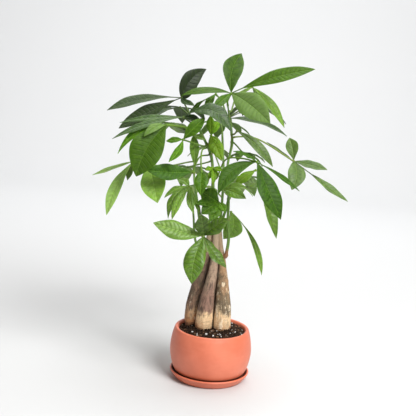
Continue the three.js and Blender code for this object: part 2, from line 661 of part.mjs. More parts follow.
const stemNames = Object.keys(STEMS);
const soil = stemNames.reduce((body, name) => body.subtract(stemSolid(name, GAP)), soilSolid());
plant.add(meshOf('soil', soundBody(soil), SOIL));
stemNames.forEach((name) => plant.add(meshOf(name, stemSolid(name, 0), BARK)));
Object.keys(SHOOTS).forEach((name) => plant.add(meshOf(name, shootSolid(name), GREEN_STEM)));
Object.entries(FRONT_LEAVES).forEach(([name, leaf]) => {
  const hub = seen(leaf.hub);
  plant.add(leafMesh(name, leaf, hub, frontBlades(hub, leaf.blades)));
});
Object.entries(BACK_LEAVES).forEach(([name, leaf], index) => {
  const hub = seen(leaf.hub);
  plant.add(leafMesh(name, leaf, hub, fanBlades(hub, leaf, index + 1)));
});

export default plant;
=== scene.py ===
"""A potted money tree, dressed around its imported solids.

The pot, its saucer, the soil, the woody stems, the green shoots and the palmate leaves are
made again as fine surfaces in the places of their solids, and get their finishes here.
Places and sizes are in millimetres, as they were measured from the front. Meshes are in metres.
"""

from __future__ import annotations

import logging
import math
from collections.abc import Sequence
from dataclasses import dataclass, field
from enum import Enum
from itertools import combinations
from typing import Any

import bpy
import numpy as np
from mathutils import Matrix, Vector
from numpy.typing import NDArray

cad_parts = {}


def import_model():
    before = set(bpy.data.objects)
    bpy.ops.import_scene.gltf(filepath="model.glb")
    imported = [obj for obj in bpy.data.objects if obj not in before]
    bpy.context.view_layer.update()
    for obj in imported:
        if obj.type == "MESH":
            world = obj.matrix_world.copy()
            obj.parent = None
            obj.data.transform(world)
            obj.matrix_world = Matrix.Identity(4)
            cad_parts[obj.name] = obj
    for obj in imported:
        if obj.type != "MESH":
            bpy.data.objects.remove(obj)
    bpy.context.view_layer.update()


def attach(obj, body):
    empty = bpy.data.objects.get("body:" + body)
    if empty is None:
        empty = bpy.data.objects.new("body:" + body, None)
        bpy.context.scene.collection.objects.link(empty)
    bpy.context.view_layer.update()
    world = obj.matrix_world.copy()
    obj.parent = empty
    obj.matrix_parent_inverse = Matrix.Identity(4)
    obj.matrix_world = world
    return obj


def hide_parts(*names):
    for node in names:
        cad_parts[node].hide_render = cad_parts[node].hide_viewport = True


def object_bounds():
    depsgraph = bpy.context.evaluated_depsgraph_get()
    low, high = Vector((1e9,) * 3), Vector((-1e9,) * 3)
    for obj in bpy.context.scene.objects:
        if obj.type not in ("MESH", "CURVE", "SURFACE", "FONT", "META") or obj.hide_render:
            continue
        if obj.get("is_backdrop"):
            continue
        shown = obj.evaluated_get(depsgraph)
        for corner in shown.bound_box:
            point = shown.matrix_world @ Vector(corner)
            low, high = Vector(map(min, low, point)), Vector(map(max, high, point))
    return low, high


Array = NDArray[np.float64]
Faces = NDArray[np.int64]
Pair = tuple[float, float]
Triple = tuple[float, float, float]
Outline = tuple[Pair, ...]
Colour = tuple[float, float, float]

MM = 0.001
UP = np.array([0.0, 0.0, 1.0])
# A draw is the part after the point of size * sin(pace * seed + start).
DRAW_PACE, DRAW_START, DRAW_SIZE = 12.9898, 78.233, 43758.5453
# The slowest and fastest wave of a ripple, and what its sum is brought to size by.
RIPPLE_PACES, RIPPLE_SIZE = (0.6, 2.2), 1.6
# A line whose way rises by more than this to the unit counts as upright.
STEEP = 0.9
# Units of the unrolled surface to the millimetre.
SURFACE_UNIT = 0.01
log = logging.getLogger("money_tree")


# Measuring from the front


def put(name: str, data: bpy.types.ID) -> bpy.types.Object:
    """Puts a new object into the scene.

    Args:
        name: the object's name.
        data: the mesh, camera or light that it holds.

    Returns:
        The object.
    """
    made = bpy.data.objects.new(name, data)
    bpy.context.scene.collection.objects.link(made)
    return made


def aim(made: bpy.types.Object, right: Array, up: Array, back: Array, place: Array) -> None:
    """Places a camera or lamp by its own directions.

    Args:
        made: the object, which looks away from its back.
        right: the unit vector to its right.
        up: the unit vector over it.
        back: the unit vector behind it.
        place: where it stands, in metres.
    """
    pose = np.eye(4)
    pose[:3, :4] = np.column_stack([right, up, back, place])
    made.matrix_world = Matrix(pose.tolist())


@dataclass(frozen=True)
class Viewer:
    """The eye that the front of the plant was measured from, in millimetres."""

    distance: float = 1353.0
    pitch: float = math.radians(10.5)
    roll: float = math.radians(3.8)
    across: float = -18.2
    up: float = 260.6
    focal_pixels: float = 870.0
    picture_pixels: float = 416.0
    sensor: float = 36.0

    def axes(self) -> tuple[Array, Array, Array]:
        """The eye's own directions before the roll.

        Returns:
            Unit vectors to the right, up and back from the picture plane.
        """
        right = np.array([1.0, 0.0, 0.0])
        up = np.array([0.0, math.sin(self.pitch), math.cos(self.pitch)])
        back = np.array([0.0, -math.cos(self.pitch), math.sin(self.pitch)])
        return right, up, back

    def eye(self) -> Array:
        """Where the eye stands."""
        right, up, back = self.axes()
        return right * self.across + up * self.up + back * self.distance

    def seen(self, places: Sequence[Sequence[float]]) -> Array:
        """Points on the rays through places of the picture plane.

        Args:
            places: rows of across and up on the plane that faces the eye through the foot,
                and of how far in front of the pot's middle the point stands.

        Returns:
            One point a row.
        """
        rows = np.array(places, dtype=float)
        right, up, _ = self.axes()
        on_plane = rows[:, :1] * right + rows[:, 1:2] * up
        eye = self.eye()
        reach = (-rows[:, 2] - eye[1]) / (on_plane[:, 1] - eye[1])
        return eye + reach[:, None] * (on_plane - eye)

    def camera(self) -> None:
        """Makes the scene's camera, which looks as the eye does."""
        right, up, back = self.axes()
        turned_right = right * math.cos(self.roll) + up * math.sin(self.roll)
        turned_up = up * math.cos(self.roll) - right * math.sin(self.roll)
        lens = bpy.data.cameras.new("front_camera")
        lens.sensor_width = self.sensor
        lens.lens = self.sensor * self.focal_pixels / self.picture_pixels
        camera = put("front_camera", lens)
        aim(camera, turned_right, turned_up, back, self.eye() * MM)
        bpy.context.scene.camera = camera


VIEWER = Viewer()


def level(degrees: float) -> Array:
    """A level direction, its angle from the front and growing towards the right."""
    angle = math.radians(degrees)
    return np.array([math.sin(angle), -math.cos(angle), 0.0])


def unit(vectors: Array) -> Array:
    """The same directions with length one, over the last axis."""
    return vectors / np.linalg.norm(vectors, axis=-1, keepdims=True)


def draw(seed: float) -> float:
    """A repeatable draw from 0 to 1: the part behind the point of a large sine."""
    value = math.sin(seed * DRAW_PACE + DRAW_START) * DRAW_SIZE
    return value - math.floor(value)


def ripple(x: Array, y: Array, seed: int, waves: int = 7) -> Array:
    """A smooth uneven field from -1 to 1: a mean of sines that run every way.

    Args:
        x: first coordinate, in units of the field's own grain.
        y: second coordinate.
        seed: picks the field.
        waves: how many sines are added.

    Returns:
        The field's values.
    """
    rng = np.random.default_rng(seed)
    way = rng.uniform(0, 2 * np.pi, waves)
    pace = rng.uniform(*RIPPLE_PACES, waves)
    start = rng.uniform(0, 2 * np.pi, waves)
    run = x[..., None] * np.cos(way) + y[..., None] * np.sin(way)
    return np.sin(run * pace + start).sum(-1) / math.sqrt(waves) / RIPPLE_SIZE


def bell(x: Array) -> Array:
    """The bell exp(-x^2)."""
    return np.exp(-(x**2))


def round_about(count: int) -> Array:
    """Angles at equal steps once round."""
    return np.linspace(0, 2 * np.pi, count, endpoint=False)


# Lines and surfaces


def centripetal(stations: Array, fine: int = 48) -> tuple[Array, Array]:
    """Samples of a smooth curve through stations.

    Each stretch is a cubic whose end slopes come from its neighbours, with steps between knots
    that grow as the square root of the distance.

    Args:
        stations: the points that the curve passes.
        fine: samples to a stretch.

    Returns:
        The samples, and the station number at each.
    """
    knots = np.vstack([2 * stations[0] - stations[1], stations, 2 * stations[-1] - stations[-2]])
    gap = np.sqrt(np.linalg.norm(np.diff(knots, axis=0), axis=1))[:, None]
    before, near, far, after = knots[:-3], knots[1:-2], knots[2:-1], knots[3:]
    gap_0, gap_1, gap_2 = gap[:-2], gap[1:-1], gap[2:]
    leave = ((near - before) / gap_0 - (far - before) / (gap_0 + gap_1) + (far - near) / gap_1) * gap_1
    arrive = ((far - near) / gap_1 - (after - near) / (gap_1 + gap_2) + (after - far) / gap_2) * gap_1
    square = -3 * near + 3 * far - 2 * leave - arrive
    cube = 2 * near - 2 * far + leave + arrive
    t = np.linspace(0, 1, fine, endpoint=False)[None, :, None]
    curve = near[:, None] + leave[:, None] * t + square[:, None] * t**2 + cube[:, None] * t**3
    numbers = np.arange(len(near))[:, None] + t[..., 0]
    samples = np.vstack([curve.reshape(-1, stations.shape[1]), stations[-1:]])
    return samples, np.append(numbers.ravel(), len(stations) - 1.0)


class Run:
    """A smooth line through stations, with radii that change along it."""

    def __init__(self, stations: Array, radii: Sequence[float]) -> None:
        """Lays the line.

        Args:
            stations: the points that it passes, in millimetres.
            radii: radii at equal steps of station number, first to last.
        """
        self.samples, numbers = centripetal(stations)
        walked = np.linalg.norm(np.diff(self.samples, axis=0), axis=1)
        self.length = float(walked.sum())
        self.parts = np.append(0.0, np.cumsum(walked)) / self.length
        share = numbers / numbers[-1]
        self.radii = np.interp(share, np.linspace(0, 1, len(radii)), radii)
        self.ways = unit(np.gradient(self.samples, self.parts, axis=0))

    def _read(self, values: Array, parts: Array) -> Array:
        """Values along the line, read at parts of its length."""
        return np.stack([np.interp(parts, self.parts, column) for column in values.T], -1)

    def at(self, parts: Array | float) -> Array:
        """Points at parts of the length, from 0 to 1."""
        return self._read(self.samples, np.asarray(parts))

    def way(self, parts: Array | float) -> Array:
        """Directions at parts of the length."""
        return unit(self._read(self.ways, np.asarray(parts)))

    def radius(self, parts: Array | float) -> Array:
        """Radii at parts of the length."""
        return np.interp(parts, self.parts, self.radii)

    def crossing(self, heights: Array | float) -> tuple[Array, Array, Array]:
        """Where the line crosses level planes.

        Args:
            heights: the planes' heights.

        Returns:
            Across, behind and radius at each.
        """
        columns = (self.samples[:, 0], self.samples[:, 1], self.radii)
        across, behind, radius = (np.interp(heights, self.samples[:, 2], column) for column in columns)
        return across, behind, radius


@dataclass
class Patch:
    """A closed piece of surface, in millimetres, and what its points carry.

    Its faces are blocks of rows of point numbers, a row for each face.
    """

    points: Array
    faces: list[Faces]
    uv: Array
    marks: dict[str, Array] = field(default_factory=dict)


def skin(rings: Array, uv: Array, **marks: Array) -> Patch:
    """Closes a tube of rings into a patch.

    Point (i, j) is the j-th of ring i. Squares join neighbouring rings, and a fan about its
    middle point closes the ring at each end.

    Args:
        rings: points, as rings by points round by 3, turning left about the tube's way.
        uv: two coordinates for each of those points.
        **marks: one number for each of those points, by name.

    Returns:
        The patch.
    """
    count, sides = rings.shape[:2]
    index = np.arange(count * sides).reshape(count, sides)
    onward = np.roll(index, -1, axis=1)
    quads = np.stack([index[:-1], onward[:-1], onward[1:], index[1:]], -1).reshape(-1, 4)
    foot, tip = count * sides, count * sides + 1
    first = np.stack([np.full(sides, foot), onward[0], index[0]], -1)
    last = np.stack([np.full(sides, tip), index[-1], onward[-1]], -1)
    points = np.vstack([rings.reshape(-1, 3), rings[[0, -1]].mean(1)])
    whole_uv = np.vstack([uv.reshape(-1, 2), uv[[0, -1]].mean(1)])
    carried = {k: np.append(v.ravel(), [v[0].mean(), v[-1].mean()]) for k, v in marks.items()}
    return Patch(points, [quads, first, last], whole_uv, carried)


def tube(line: Array, radii: Array, sides: int, **marks: Array) -> Patch:
    """A round tube about a line.

    Point (i, j) stands off line point i by its radius, at angle 2 pi j / sides in the plane
    across the line's way there.

    Args:
        line: points along the middle.
        radii: a radius for each of them, or for each point of each ring.
        sides: points in a ring.
        **marks: one number for each ring, by name.

    Returns:
        The patch.
    """
    along = unit(np.gradient(line, axis=0))
    chord = unit(line[-1] - line[0])
    aside = np.cross(chord, UP) if abs(chord[2]) < STEEP else np.array([1.0, 0.0, 0.0])
    across = unit(aside - (along @ aside)[:, None] * along)
    over = np.cross(along, across)
    turn = round_about(sides)
    out = np.cos(turn)[None, :, None] * across[:, None] + np.sin(turn)[None, :, None] * over[:, None]
    reach = radii[:, None] if radii.ndim == 1 else radii
    rings = line[:, None] + out * np.broadcast_to(reach, (len(line), sides))[..., None]
    share = np.linspace(0, 1, len(line))
    uv = np.stack(np.meshgrid(share, turn / (2 * np.pi), indexing="ij"), -1)
    spread = {k: np.repeat(v[:, None], sides, axis=1) for k, v in marks.items()}
    return skin(rings, uv, **spread)


def circles(radius: Array, height: Array, count: int) -> Array:
    """Level circles about the upright axis.

    Point (i, j) stands at radius i and height i, at angle 2 pi j / count.

    Args:
        radius: one radius a circle.
        height: one height a circle.
        count: points in a circle.

    Returns:
        The points, as circles by points round by 3.
    """
    turn = round_about(count)
    x, y = radius[:, None] * np.cos(turn), radius[:, None] * np.sin(turn)
    return np.stack([x, y, np.broadcast_to(height[:, None], x.shape)], -1)


def turned(profile: Array, segments: int) -> Patch:
    """A closed outline turned about the upright axis.

    The outline runs with its inside on its left, and both ways round it the surface meets itself.

    Args:
        profile: rows of radius and height.
        segments: steps round.

    Returns:
        The patch.
    """
    index = np.arange(len(profile) * segments).reshape(len(profile), segments)
    onward, below = np.roll(index, -1, axis=1), np.roll(index, -1, axis=0)
    both = np.roll(onward, -1, axis=0)
    quads = np.stack([index, onward, both, below], -1).reshape(-1, 4)
    return Patch(circles(*profile.T, segments).reshape(-1, 3), [quads], np.zeros((index.size, 2)))


def lumps(middles: Array, sizes: Array, seed: int, uneven: Pair = (0.75, 1.25)) -> Patch:
    """Small stones: a coarse ball of twelve points at each place, pushed in and out at random.

    The ball is an icosahedron, whose sides are shorter than 1.1 of its radius and whose other
    spans are longer. Each stone is turned about the upright axis.

    Args:
        middles: where they lie.
        sizes: their half sizes along three axes, one row each.
        seed: picks the shapes.
        uneven: the least and most that a point is pushed to.

    Returns:
        All of them as one patch.
    """
    rng = np.random.default_rng(seed)
    gold = (1 + math.sqrt(5)) / 2
    flat = [[x, y] for x in (-1, 1) for y in (-gold, gold)]
    ball = unit(np.array([[x, y, 0.0] for x, y in flat] + [[0.0, x, y] for x, y in flat]
                         + [[y, 0.0, x] for x, y in flat]))
    near = np.linalg.norm(ball[:, None] - ball[None], axis=-1) < 1.1
    faces = [f for f in combinations(range(len(ball)), 3)
             if near[f[0], f[1]] and near[f[1], f[2]] and near[f[0], f[2]]]
    outward = [f if np.linalg.det(ball[list(f)]) > 0 else (f[0], f[2], f[1]) for f in faces]
    shapes = ball * rng.uniform(*uneven, (len(middles), len(ball), 1)) * sizes[:, None]
    spin = rng.uniform(0, 2 * np.pi, len(middles))
    cos, sin = np.cos(spin)[:, None], np.sin(spin)[:, None]
    x, y = shapes[..., 0] * cos - shapes[..., 1] * sin, shapes[..., 0] * sin + shapes[..., 1] * cos
    points = (np.stack([x, y, shapes[..., 2]], -1) + middles[:, None]).reshape(-1, 3)
    start = (np.arange(len(middles)) * len(ball))[:, None, None]
    return Patch(points, [(np.array(outward)[None] + start).reshape(-1, 3)], np.zeros((len(points), 2)))


def piece(
    name: str, patches: Sequence[Patch], finish: bpy.types.Material, crease: float
) -> bpy.types.Object:
    """Makes one mesh object of patches and lets it ride on the plant.

    Args:
        name: the object's name.
        patches: what it is made of.
        finish: its material.
        crease: edges sharper than this many degrees stay sharp.

    Returns:
        The object.
    """
    starts = np.cumsum([0] + [len(p.points) for p in patches])
    points = np.vstack([p.points for p in patches]) * MM
    blocks = [block + start for p, start in zip(patches, starts) for block in p.faces]
    faces = [face for block in blocks for face in block.tolist()]
    mesh = bpy.data.meshes.new(name)
    mesh.from_pydata(points.tolist(), [], faces)
    layer = mesh.uv_layers.new(name="surface")
    corners = np.zeros(len(mesh.loops), dtype=np.int32)
    mesh.loops.foreach_get("vertex_index", corners)
    layer.data.foreach_set("uv", np.vstack([p.uv for p in patches])[corners].astype(np.float32).ravel())
    for mark in sorted({key for p in patches for key in p.marks}):
        values = np.concatenate([p.marks.get(mark, np.zeros(len(p.points))) for p in patches])
        mesh.attributes.new(mark, "FLOAT", "POINT").data.foreach_set("value", values.astype(np.float32))
    mesh.shade_smooth()
    mesh.set_sharp_from_angle(angle=math.radians(crease))
    mesh.materials.append(finish)
    made = put(name, mesh)
    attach(made, "root")
    log.info("%s: %d points, %d faces", name, len(points), len(faces))
    return made


# Shader nodes


class Socket:
    """A number that a shader node gives, on which arithmetic adds Math nodes."""

    def __init__(self, graph: Graph, out: bpy.types.NodeSocket) -> None:
        """Wraps a node's output."""
        self.graph = graph
        self.out = out

    def __add__(self, other: Socket | float) -> Socket:
        """This number and the other together."""
        return self.graph.math("ADD", self, other)

    def __radd__(self, other: float) -> Socket:
        """The other number and this together."""
        return self.graph.math("ADD", other, self)

    def __sub__(self, other: Socket | float) -> Socket:
        """This number less the other."""
        return self.graph.math("SUBTRACT", self, other)

    def __rsub__(self, other: float) -> Socket:
        """The other number less this."""
        return self.graph.math("SUBTRACT", other, self)

    def __mul__(self, other: Socket | float) -> Socket:
        """This number times the other."""
        return self.graph.math("MULTIPLY", self, other)

    def __rmul__(self, other: float) -> Socket:
        """The other number times this."""
        return self.graph.math("MULTIPLY", other, self)


@dataclass(frozen=True)
class Cloud:
    """A cloudy noise.

    Scale is lumps to the unit of place, detail how many finer layers it has, rough how strong
    each is beside the last, and stretch what each axis of place is scaled by first.
    """

    scale: float
    detail: float
    rough: float = 0.55
    stretch: Triple | None = None


class Graph:
    """The shader nodes of one material."""

    def __init__(self, name: str) -> None:
        """Starts a material with the usual surface shader.

        Args:
            name: the material's name.
        """
        self.made = bpy.data.materials.new(name)
        self.made.use_nodes = True
        self.tree = self.made.node_tree
        self.shader = self.tree.nodes["Principled BSDF"]

    def plug(self, socket: bpy.types.NodeSocket, value: Any) -> None:
        """Links an output to a socket, or sets a plain value on it.

        Args:
            socket: the input socket.
            value: a Socket, a node's output, a colour of three numbers, or a plain value.
        """
        if isinstance(value, Socket):
            self.tree.links.new(value.out, socket)
        elif isinstance(value, bpy.types.NodeSocket):
            self.tree.links.new(value, socket)
        elif isinstance(value, tuple) and len(value) == 3 and socket.type == "RGBA":
            socket.default_value = (*value, 1.0)
        else:
            socket.default_value = value

    def node(self, kind: str, settings: dict[str, Any], inputs: dict[str | int, Any]) -> bpy.types.Node:
        """Adds one node.

        Args:
            kind: the node's type.
            settings: its own settings, which are set first.
            inputs: values or links of its sockets, by name or number.

        Returns:
            The node.
        """
        made = self.tree.nodes.new(kind)
        for key, value in settings.items():
            setattr(made, key, value)
        for key, value in inputs.items():
            self.plug(made.inputs[key], value)
        return made

    def math(self, operation: str, *values: Socket | float) -> Socket:
        """One Math node on numbers."""
        made = self.node("ShaderNodeMath", {"operation": operation}, dict(enumerate(values)))
        return Socket(self, made.outputs[0])

    def ease(self, value: Socket, low: float, high: float) -> Socket:
        """A smooth step.

        Args:
            value: what it follows.
            low: it is 0 under this.
            high: it is 1 over this.

        Returns:
            The step.
        """
        ends = {"Value": value, "From Min": low, "From Max": high}
        made = self.node("ShaderNodeMapRange", {"interpolation_type": "SMOOTHSTEP"}, ends)
        return Socket(self, made.outputs[0])

    def mark(self, name: str) -> Socket:
        """A number that the mesh carries."""
        made = self.node("ShaderNodeAttribute", {"attribute_name": name}, {})
        return Socket(self, made.outputs["Fac"])

    def place(self) -> bpy.types.NodeSocket:
        """The point's place in the object."""
        return self.node("ShaderNodeTexCoord", {}, {}).outputs["Object"]

    def sheet(self) -> bpy.types.NodeSocket:
        """The point's place on the unrolled surface."""
        return self.node("ShaderNodeUVMap", {"uv_map": "surface"}, {}).outputs["UV"]

    def along(self, axis: str) -> Socket:
        """The point's place along one axis, X, Y or Z, in metres."""
        split = self.node("ShaderNodeSeparateXYZ", {}, {0: self.place()})
        return Socket(self, split.outputs[axis])

    def height(self) -> Socket:
        """The point's height, in metres."""
        return self.along("Z")

    def reach(self) -> Socket:
        """The point's distance from the upright axis, in metres."""
        flat = self.stretched(self.place(), (1, 1, 0))
        return Socket(self, self.vector_math("LENGTH", {0: flat}).outputs["Value"])

    def vector_math(self, operation: str, inputs: dict[str | int, Any]) -> bpy.types.Node:
        """One Vector Math node."""
        return self.node("ShaderNodeVectorMath", {"operation": operation}, inputs)

    def stretched(self, vector: bpy.types.NodeSocket, by: Triple) -> bpy.types.NodeSocket:
        """A place with each axis scaled by its own number."""
        return self.vector_math("MULTIPLY", {0: vector, 1: by}).outputs[0]

    def noise(self, cloud: Cloud, place: bpy.types.NodeSocket) -> Socket:
        """A cloudy noise.

        Args:
            cloud: which one.
            place: the place that it is read at.

        Returns:
            A number from 0 to 1.
        """
        if cloud.stretch is not None:
            place = self.stretched(place, cloud.stretch)
        inputs = {"Vector": place, "Scale": cloud.scale, "Detail": cloud.detail, "Roughness": cloud.rough}
        return Socket(self, self.node("ShaderNodeTexNoise", {}, inputs).outputs[0])

    def cells(self, vector: bpy.types.NodeSocket, scale: float) -> Socket:
        """Distance from the middle of the nearest of many scattered cells."""
        made = self.node("ShaderNodeTexVoronoi", {}, {"Vector": vector, "Scale": scale})
        return Socket(self, made.outputs[0])

    def mix(self, share: Socket, first: Any, second: Any) -> bpy.types.NodeSocket:
        """A colour between two, with a share from 0 to 1 of the second."""
        settings = {"data_type": "RGBA", "clamp_factor": True}
        return self.node("ShaderNodeMix", settings, {0: share, 6: first, 7: second}).outputs[2]

    def coated(self, colour: Any, *coats: tuple[Socket, Any]) -> bpy.types.NodeSocket:
        """A colour under coats of other colours.

        Args:
            colour: the lowest colour.
            *coats: how much each coat covers, from 0 to 1, and its colour, from the lowest up.

        Returns:
            The colour that shows.
        """
        for share, coat in coats:
            colour = self.mix(share, colour, coat)
        return colour

    def brighter(self, colour: Any, by: Socket) -> bpy.types.NodeSocket:
        """A colour with its light scaled by a number."""
        return self.vector_math("SCALE", {0: colour, "Scale": by}).outputs[0]

    def relief(self, height: Socket, depth: float) -> bpy.types.NodeSocket:
        """The bent normal of a fine relief, which rises by depth in metres from 0 to 1."""
        return self.node("ShaderNodeBump", {}, {"Height": height, "Distance": depth}).outputs[0]

    def finish(self, colour: Any, roughness: Any, normal: Any = None, **fixed: float) -> bpy.types.Material:
        """Sets the surface shader.

        Args:
            colour: the base colour.
            roughness: the roughness.
            normal: a bent normal, or nothing.
            **fixed: constants of other sockets, with _ for a space in their names.

        Returns:
            The material.
        """
        self.plug(self.shader.inputs["Base Color"], colour)
        self.plug(self.shader.inputs["Roughness"], roughness)
        if normal is not None:
            self.plug(self.shader.inputs["Normal"], normal)
        for key, value in fixed.items():
            self.plug(self.shader.inputs[key.replace("_", " ")], value)
        return self.made


# Finishes


@dataclass(frozen=True)
class Terracotta:
    """Smooth orange-red clay with a faint satin skin and a slight uneven blush.

    Painted shade darkens it in the narrow gap between planter and saucer: under a height, and inside
    the cone on which the radius less a share of the height is a number. Each of the two fades
    between a pair of values, in metres.
    """

    deep: Colour = (0.66, 0.15, 0.07)
    clay: Colour = (0.76, 0.2, 0.105)
    dust: Colour = (0.85, 0.3, 0.18)
    painted_gap_shade: Colour = (0.1, 0.02, 0.008)
    roughness: float = 0.36
    gloss: float = 0.75
    gap_top: Pair = (0.0125, 0.0155)
    gap_cone: Pair = (0.0499, 0.0507)
    gap_lean: float = 0.65
    patches: Cloud = Cloud(22, 3)
    grain: Cloud = Cloud(900, 3)
    bands: Cloud = Cloud(34, 2, stretch=(1, 1, 7))
    grain_depth: float = 0.00008

    def material(self, name: str) -> bpy.types.Material:
        """The clay, mottled in patches a few centimetres wide, with fine grain, pale dust and painted shade
        in the gap.

        Args:
            name: the material's name.

        Returns:
            The material.
        """
        g = Graph(name)
        place, height = g.place(), g.height()
        patch, grain, bands = (g.noise(cloud, place) for cloud in (self.patches, self.grain, self.bands))
        # low and inner mark the gap between planter and saucer, where shade is painted
        low = 1 - g.ease(height, *self.gap_top)
        inner = 1 - g.ease(g.reach() - height * self.gap_lean, *self.gap_cone)
        colour = g.coated(
            self.deep,
            (g.ease(patch, 0.3, 0.7), self.clay),
            (g.ease(bands, 0.5, 0.75) * 0.08, self.dust),
            (g.ease(grain, 0.6, 0.8) * 0.18, self.deep),
            # painted shade in the gap between planter and saucer
            (low * inner * 0.8, self.painted_gap_shade),
        )
        roughness = self.roughness + grain * 0.14 + patch * 0.06
        relief = g.relief(grain + bands * 0.12, self.grain_depth)
        return g.finish(colour, roughness, relief, Specular_IOR_Level=self.gloss)


@dataclass(frozen=True)
class PottingMix:
    """Damp dark crumbly soil."""

    wet: Colour = (0.008, 0.0045, 0.003)
    crumb: Colour = (0.05, 0.026, 0.014)
    fleck: Colour = (0.2, 0.12, 0.065)
    gloss: float = 0.15
    crumbs: float = 420.0
    clouds: Cloud = Cloud(300, 5, 0.65)
    fibre: Cloud = Cloud(1100, 2)
    crumb_depth: float = 0.0012

    def material(self, name: str) -> bpy.types.Material:
        """Dark crumbs with paler flecks of fibre.

        Args:
            name: the material's name.

        Returns:
            The material.
        """
        g = Graph(name)
        place = g.place()
        crumbs = g.cells(place, self.crumbs)
        cloud, fibre = g.noise(self.clouds, place), g.noise(self.fibre, place)
        colour = g.coated(
            self.wet,
            (g.ease(cloud, 0.35, 0.7), self.crumb),
            (g.ease(fibre, 0.62, 0.72) * 0.6, self.fleck),
        )
        relief = g.relief(cloud + crumbs * 0.7, self.crumb_depth)
        return g.finish(colour, 0.95 - cloud * 0.15, relief, Specular_IOR_Level=self.gloss)


@dataclass(frozen=True)
class Grit:
    """Loose dry bits on the soil: pale expanded mineral or brown bark."""

    dark: Colour
    pale: Colour
    roughness: float = 0.92
    clouds: Cloud = Cloud(700, 3)
    pit_depth: float = 0.0004

    def material(self, name: str) -> bpy.types.Material:
        """Mottled bits with a pitted skin.

        Args:
            name: the material's name.

        Returns:
            The material.
        """
        g = Graph(name)
        cloud = g.noise(self.clouds, g.place())
        colour = g.mix(g.ease(cloud, 0.35, 0.65), self.dark, self.pale)
        return g.finish(colour, self.roughness, g.relief(cloud, self.pit_depth))


@dataclass(frozen=True)
class Bark:
    """Thin bark, rusty at the soil, tan above it and brown higher, with cracks, pale scars and painted
    highlights.

    Its colour changes at three heights, the lines, over their edges. The other pairs of heights
    are where damp ends and where moss, age and the tan of the top begin, all in metres. Scarred
    and highlit is how much of it the pale patches take, which are scars and painted highlights,
    and cracked how dark its cracks are. The crack colour also paints the shade in the crevices
    between stems.
    """

    middle: Colour = (0.27, 0.155, 0.11)
    high: Colour = (0.42, 0.29, 0.19)
    low: Colour = (0.8, 0.56, 0.32)
    rust: Colour = (0.5, 0.24, 0.1)
    moss: Colour = (0.1, 0.085, 0.05)
    crack_and_shade: Colour = (0.03, 0.016, 0.01)
    scar_and_highlight: Colour = (0.9, 0.74, 0.52)
    summit: Colour = (0.62, 0.47, 0.31)
    rust_line: float = 0.09
    low_line: float = 0.107
    middle_line: float = 0.15
    damp_end: Pair = (0.083, 0.088)
    moss_start: Pair = (0.1, 0.12)
    age_start: Pair = (0.1, 0.125)
    summit_start: Pair = (0.185, 0.215)
    scarred_and_highlit: float = 0.0
    cracked: float = 1.0
    clouds: Cloud = Cloud(48, 5, 0.6)
    broad: Cloud = Cloud(85, 4, 0.6, (1, 1, 0.55))
    streaks: Cloud = Cloud(330, 6, 0.7, (1, 1, 0.25))
    rings: Cloud = Cloud(360, 3, stretch=(0.2, 0.2, 1))
    flecks: Cloud = Cloud(620, 3, 0.6)
    patches: Cloud = Cloud(150, 5, 0.7, (1, 1, 0.4))
    rust_edge: float = 0.006
    low_edges: Pair = (0.009, 0.011)
    middle_edge: float = 0.015
    crack_depth: float = 0.0013

    def material(self, name: str) -> bpy.types.Material:
        """Bark whose colour changes with an unevenly raised height, streaked along the stem.

        Args:
            name: the material's name.

        Returns:
            The material.
        """
        g = Graph(name)
        place, height = g.place(), g.height()
        cloud, broad, streak = (g.noise(c, place) for c in (self.clouds, self.broad, self.streaks))
        rings, flecks, patch = (g.noise(c, place) for c in (self.rings, self.flecks, self.patches))
        risen = height + (cloud - 0.5) * 0.06 + (streak - 0.5) * 0.045 + (broad - 0.5) * 0.03
        aged = g.ease(height, *self.age_start)
        pale = g.ease(patch + (self.scarred_and_highlit - 0.5) * 0.1, 0.56, 0.63)
        damp = 1 - g.ease(height + (broad - 0.5) * 0.03 + (flecks - 0.5) * 0.015, *self.damp_end)
        rusty = height + (broad - 0.5) * 0.05
        tan = g.ease(rusty, self.rust_line - self.rust_edge, self.rust_line + self.rust_edge)
        brown = g.ease(risen, self.low_line - self.low_edges[0], self.low_line + self.low_edges[1])
        upper = g.ease(risen, self.middle_line - self.middle_edge, self.middle_line + self.middle_edge)
        colour = g.coated(
            self.rust,
            (tan, self.low),
            (brown, self.middle),
            (upper, self.high),
            (g.ease(broad, 0.5, 0.62) * (0.25 + g.ease(height, *self.moss_start) * 0.4), self.moss),
            (g.ease(streak, 0.5, 0.64) * (0.25 + aged * 0.5) * self.cracked, self.crack_and_shade),
            (g.ease(rings, 0.55, 0.68) * 0.3, self.crack_and_shade),
            (g.ease(flecks, 0.58, 0.68) * (0.3 + aged * 0.25) * self.cracked, self.crack_and_shade),
            # pale patches: scars, and painted highlights
            (pale * 0.8, self.scar_and_highlight),
            # painted shade in the crevices between stems, with the dark of bark hollows and knot holes
            (g.ease(g.mark("hollow"), 0.1, 0.9) * 0.8, self.crack_and_shade),
            (damp * 0.7, self.crack_and_shade),
            (g.ease(risen, *self.summit_start) * 0.6, self.summit),
        )
        coat = streak * -0.9 + rings * -0.5 + flecks * -0.6 + pale * 0.3
        return g.finish(colour, 0.6 + cloud * 0.2, g.relief(coat, self.crack_depth))


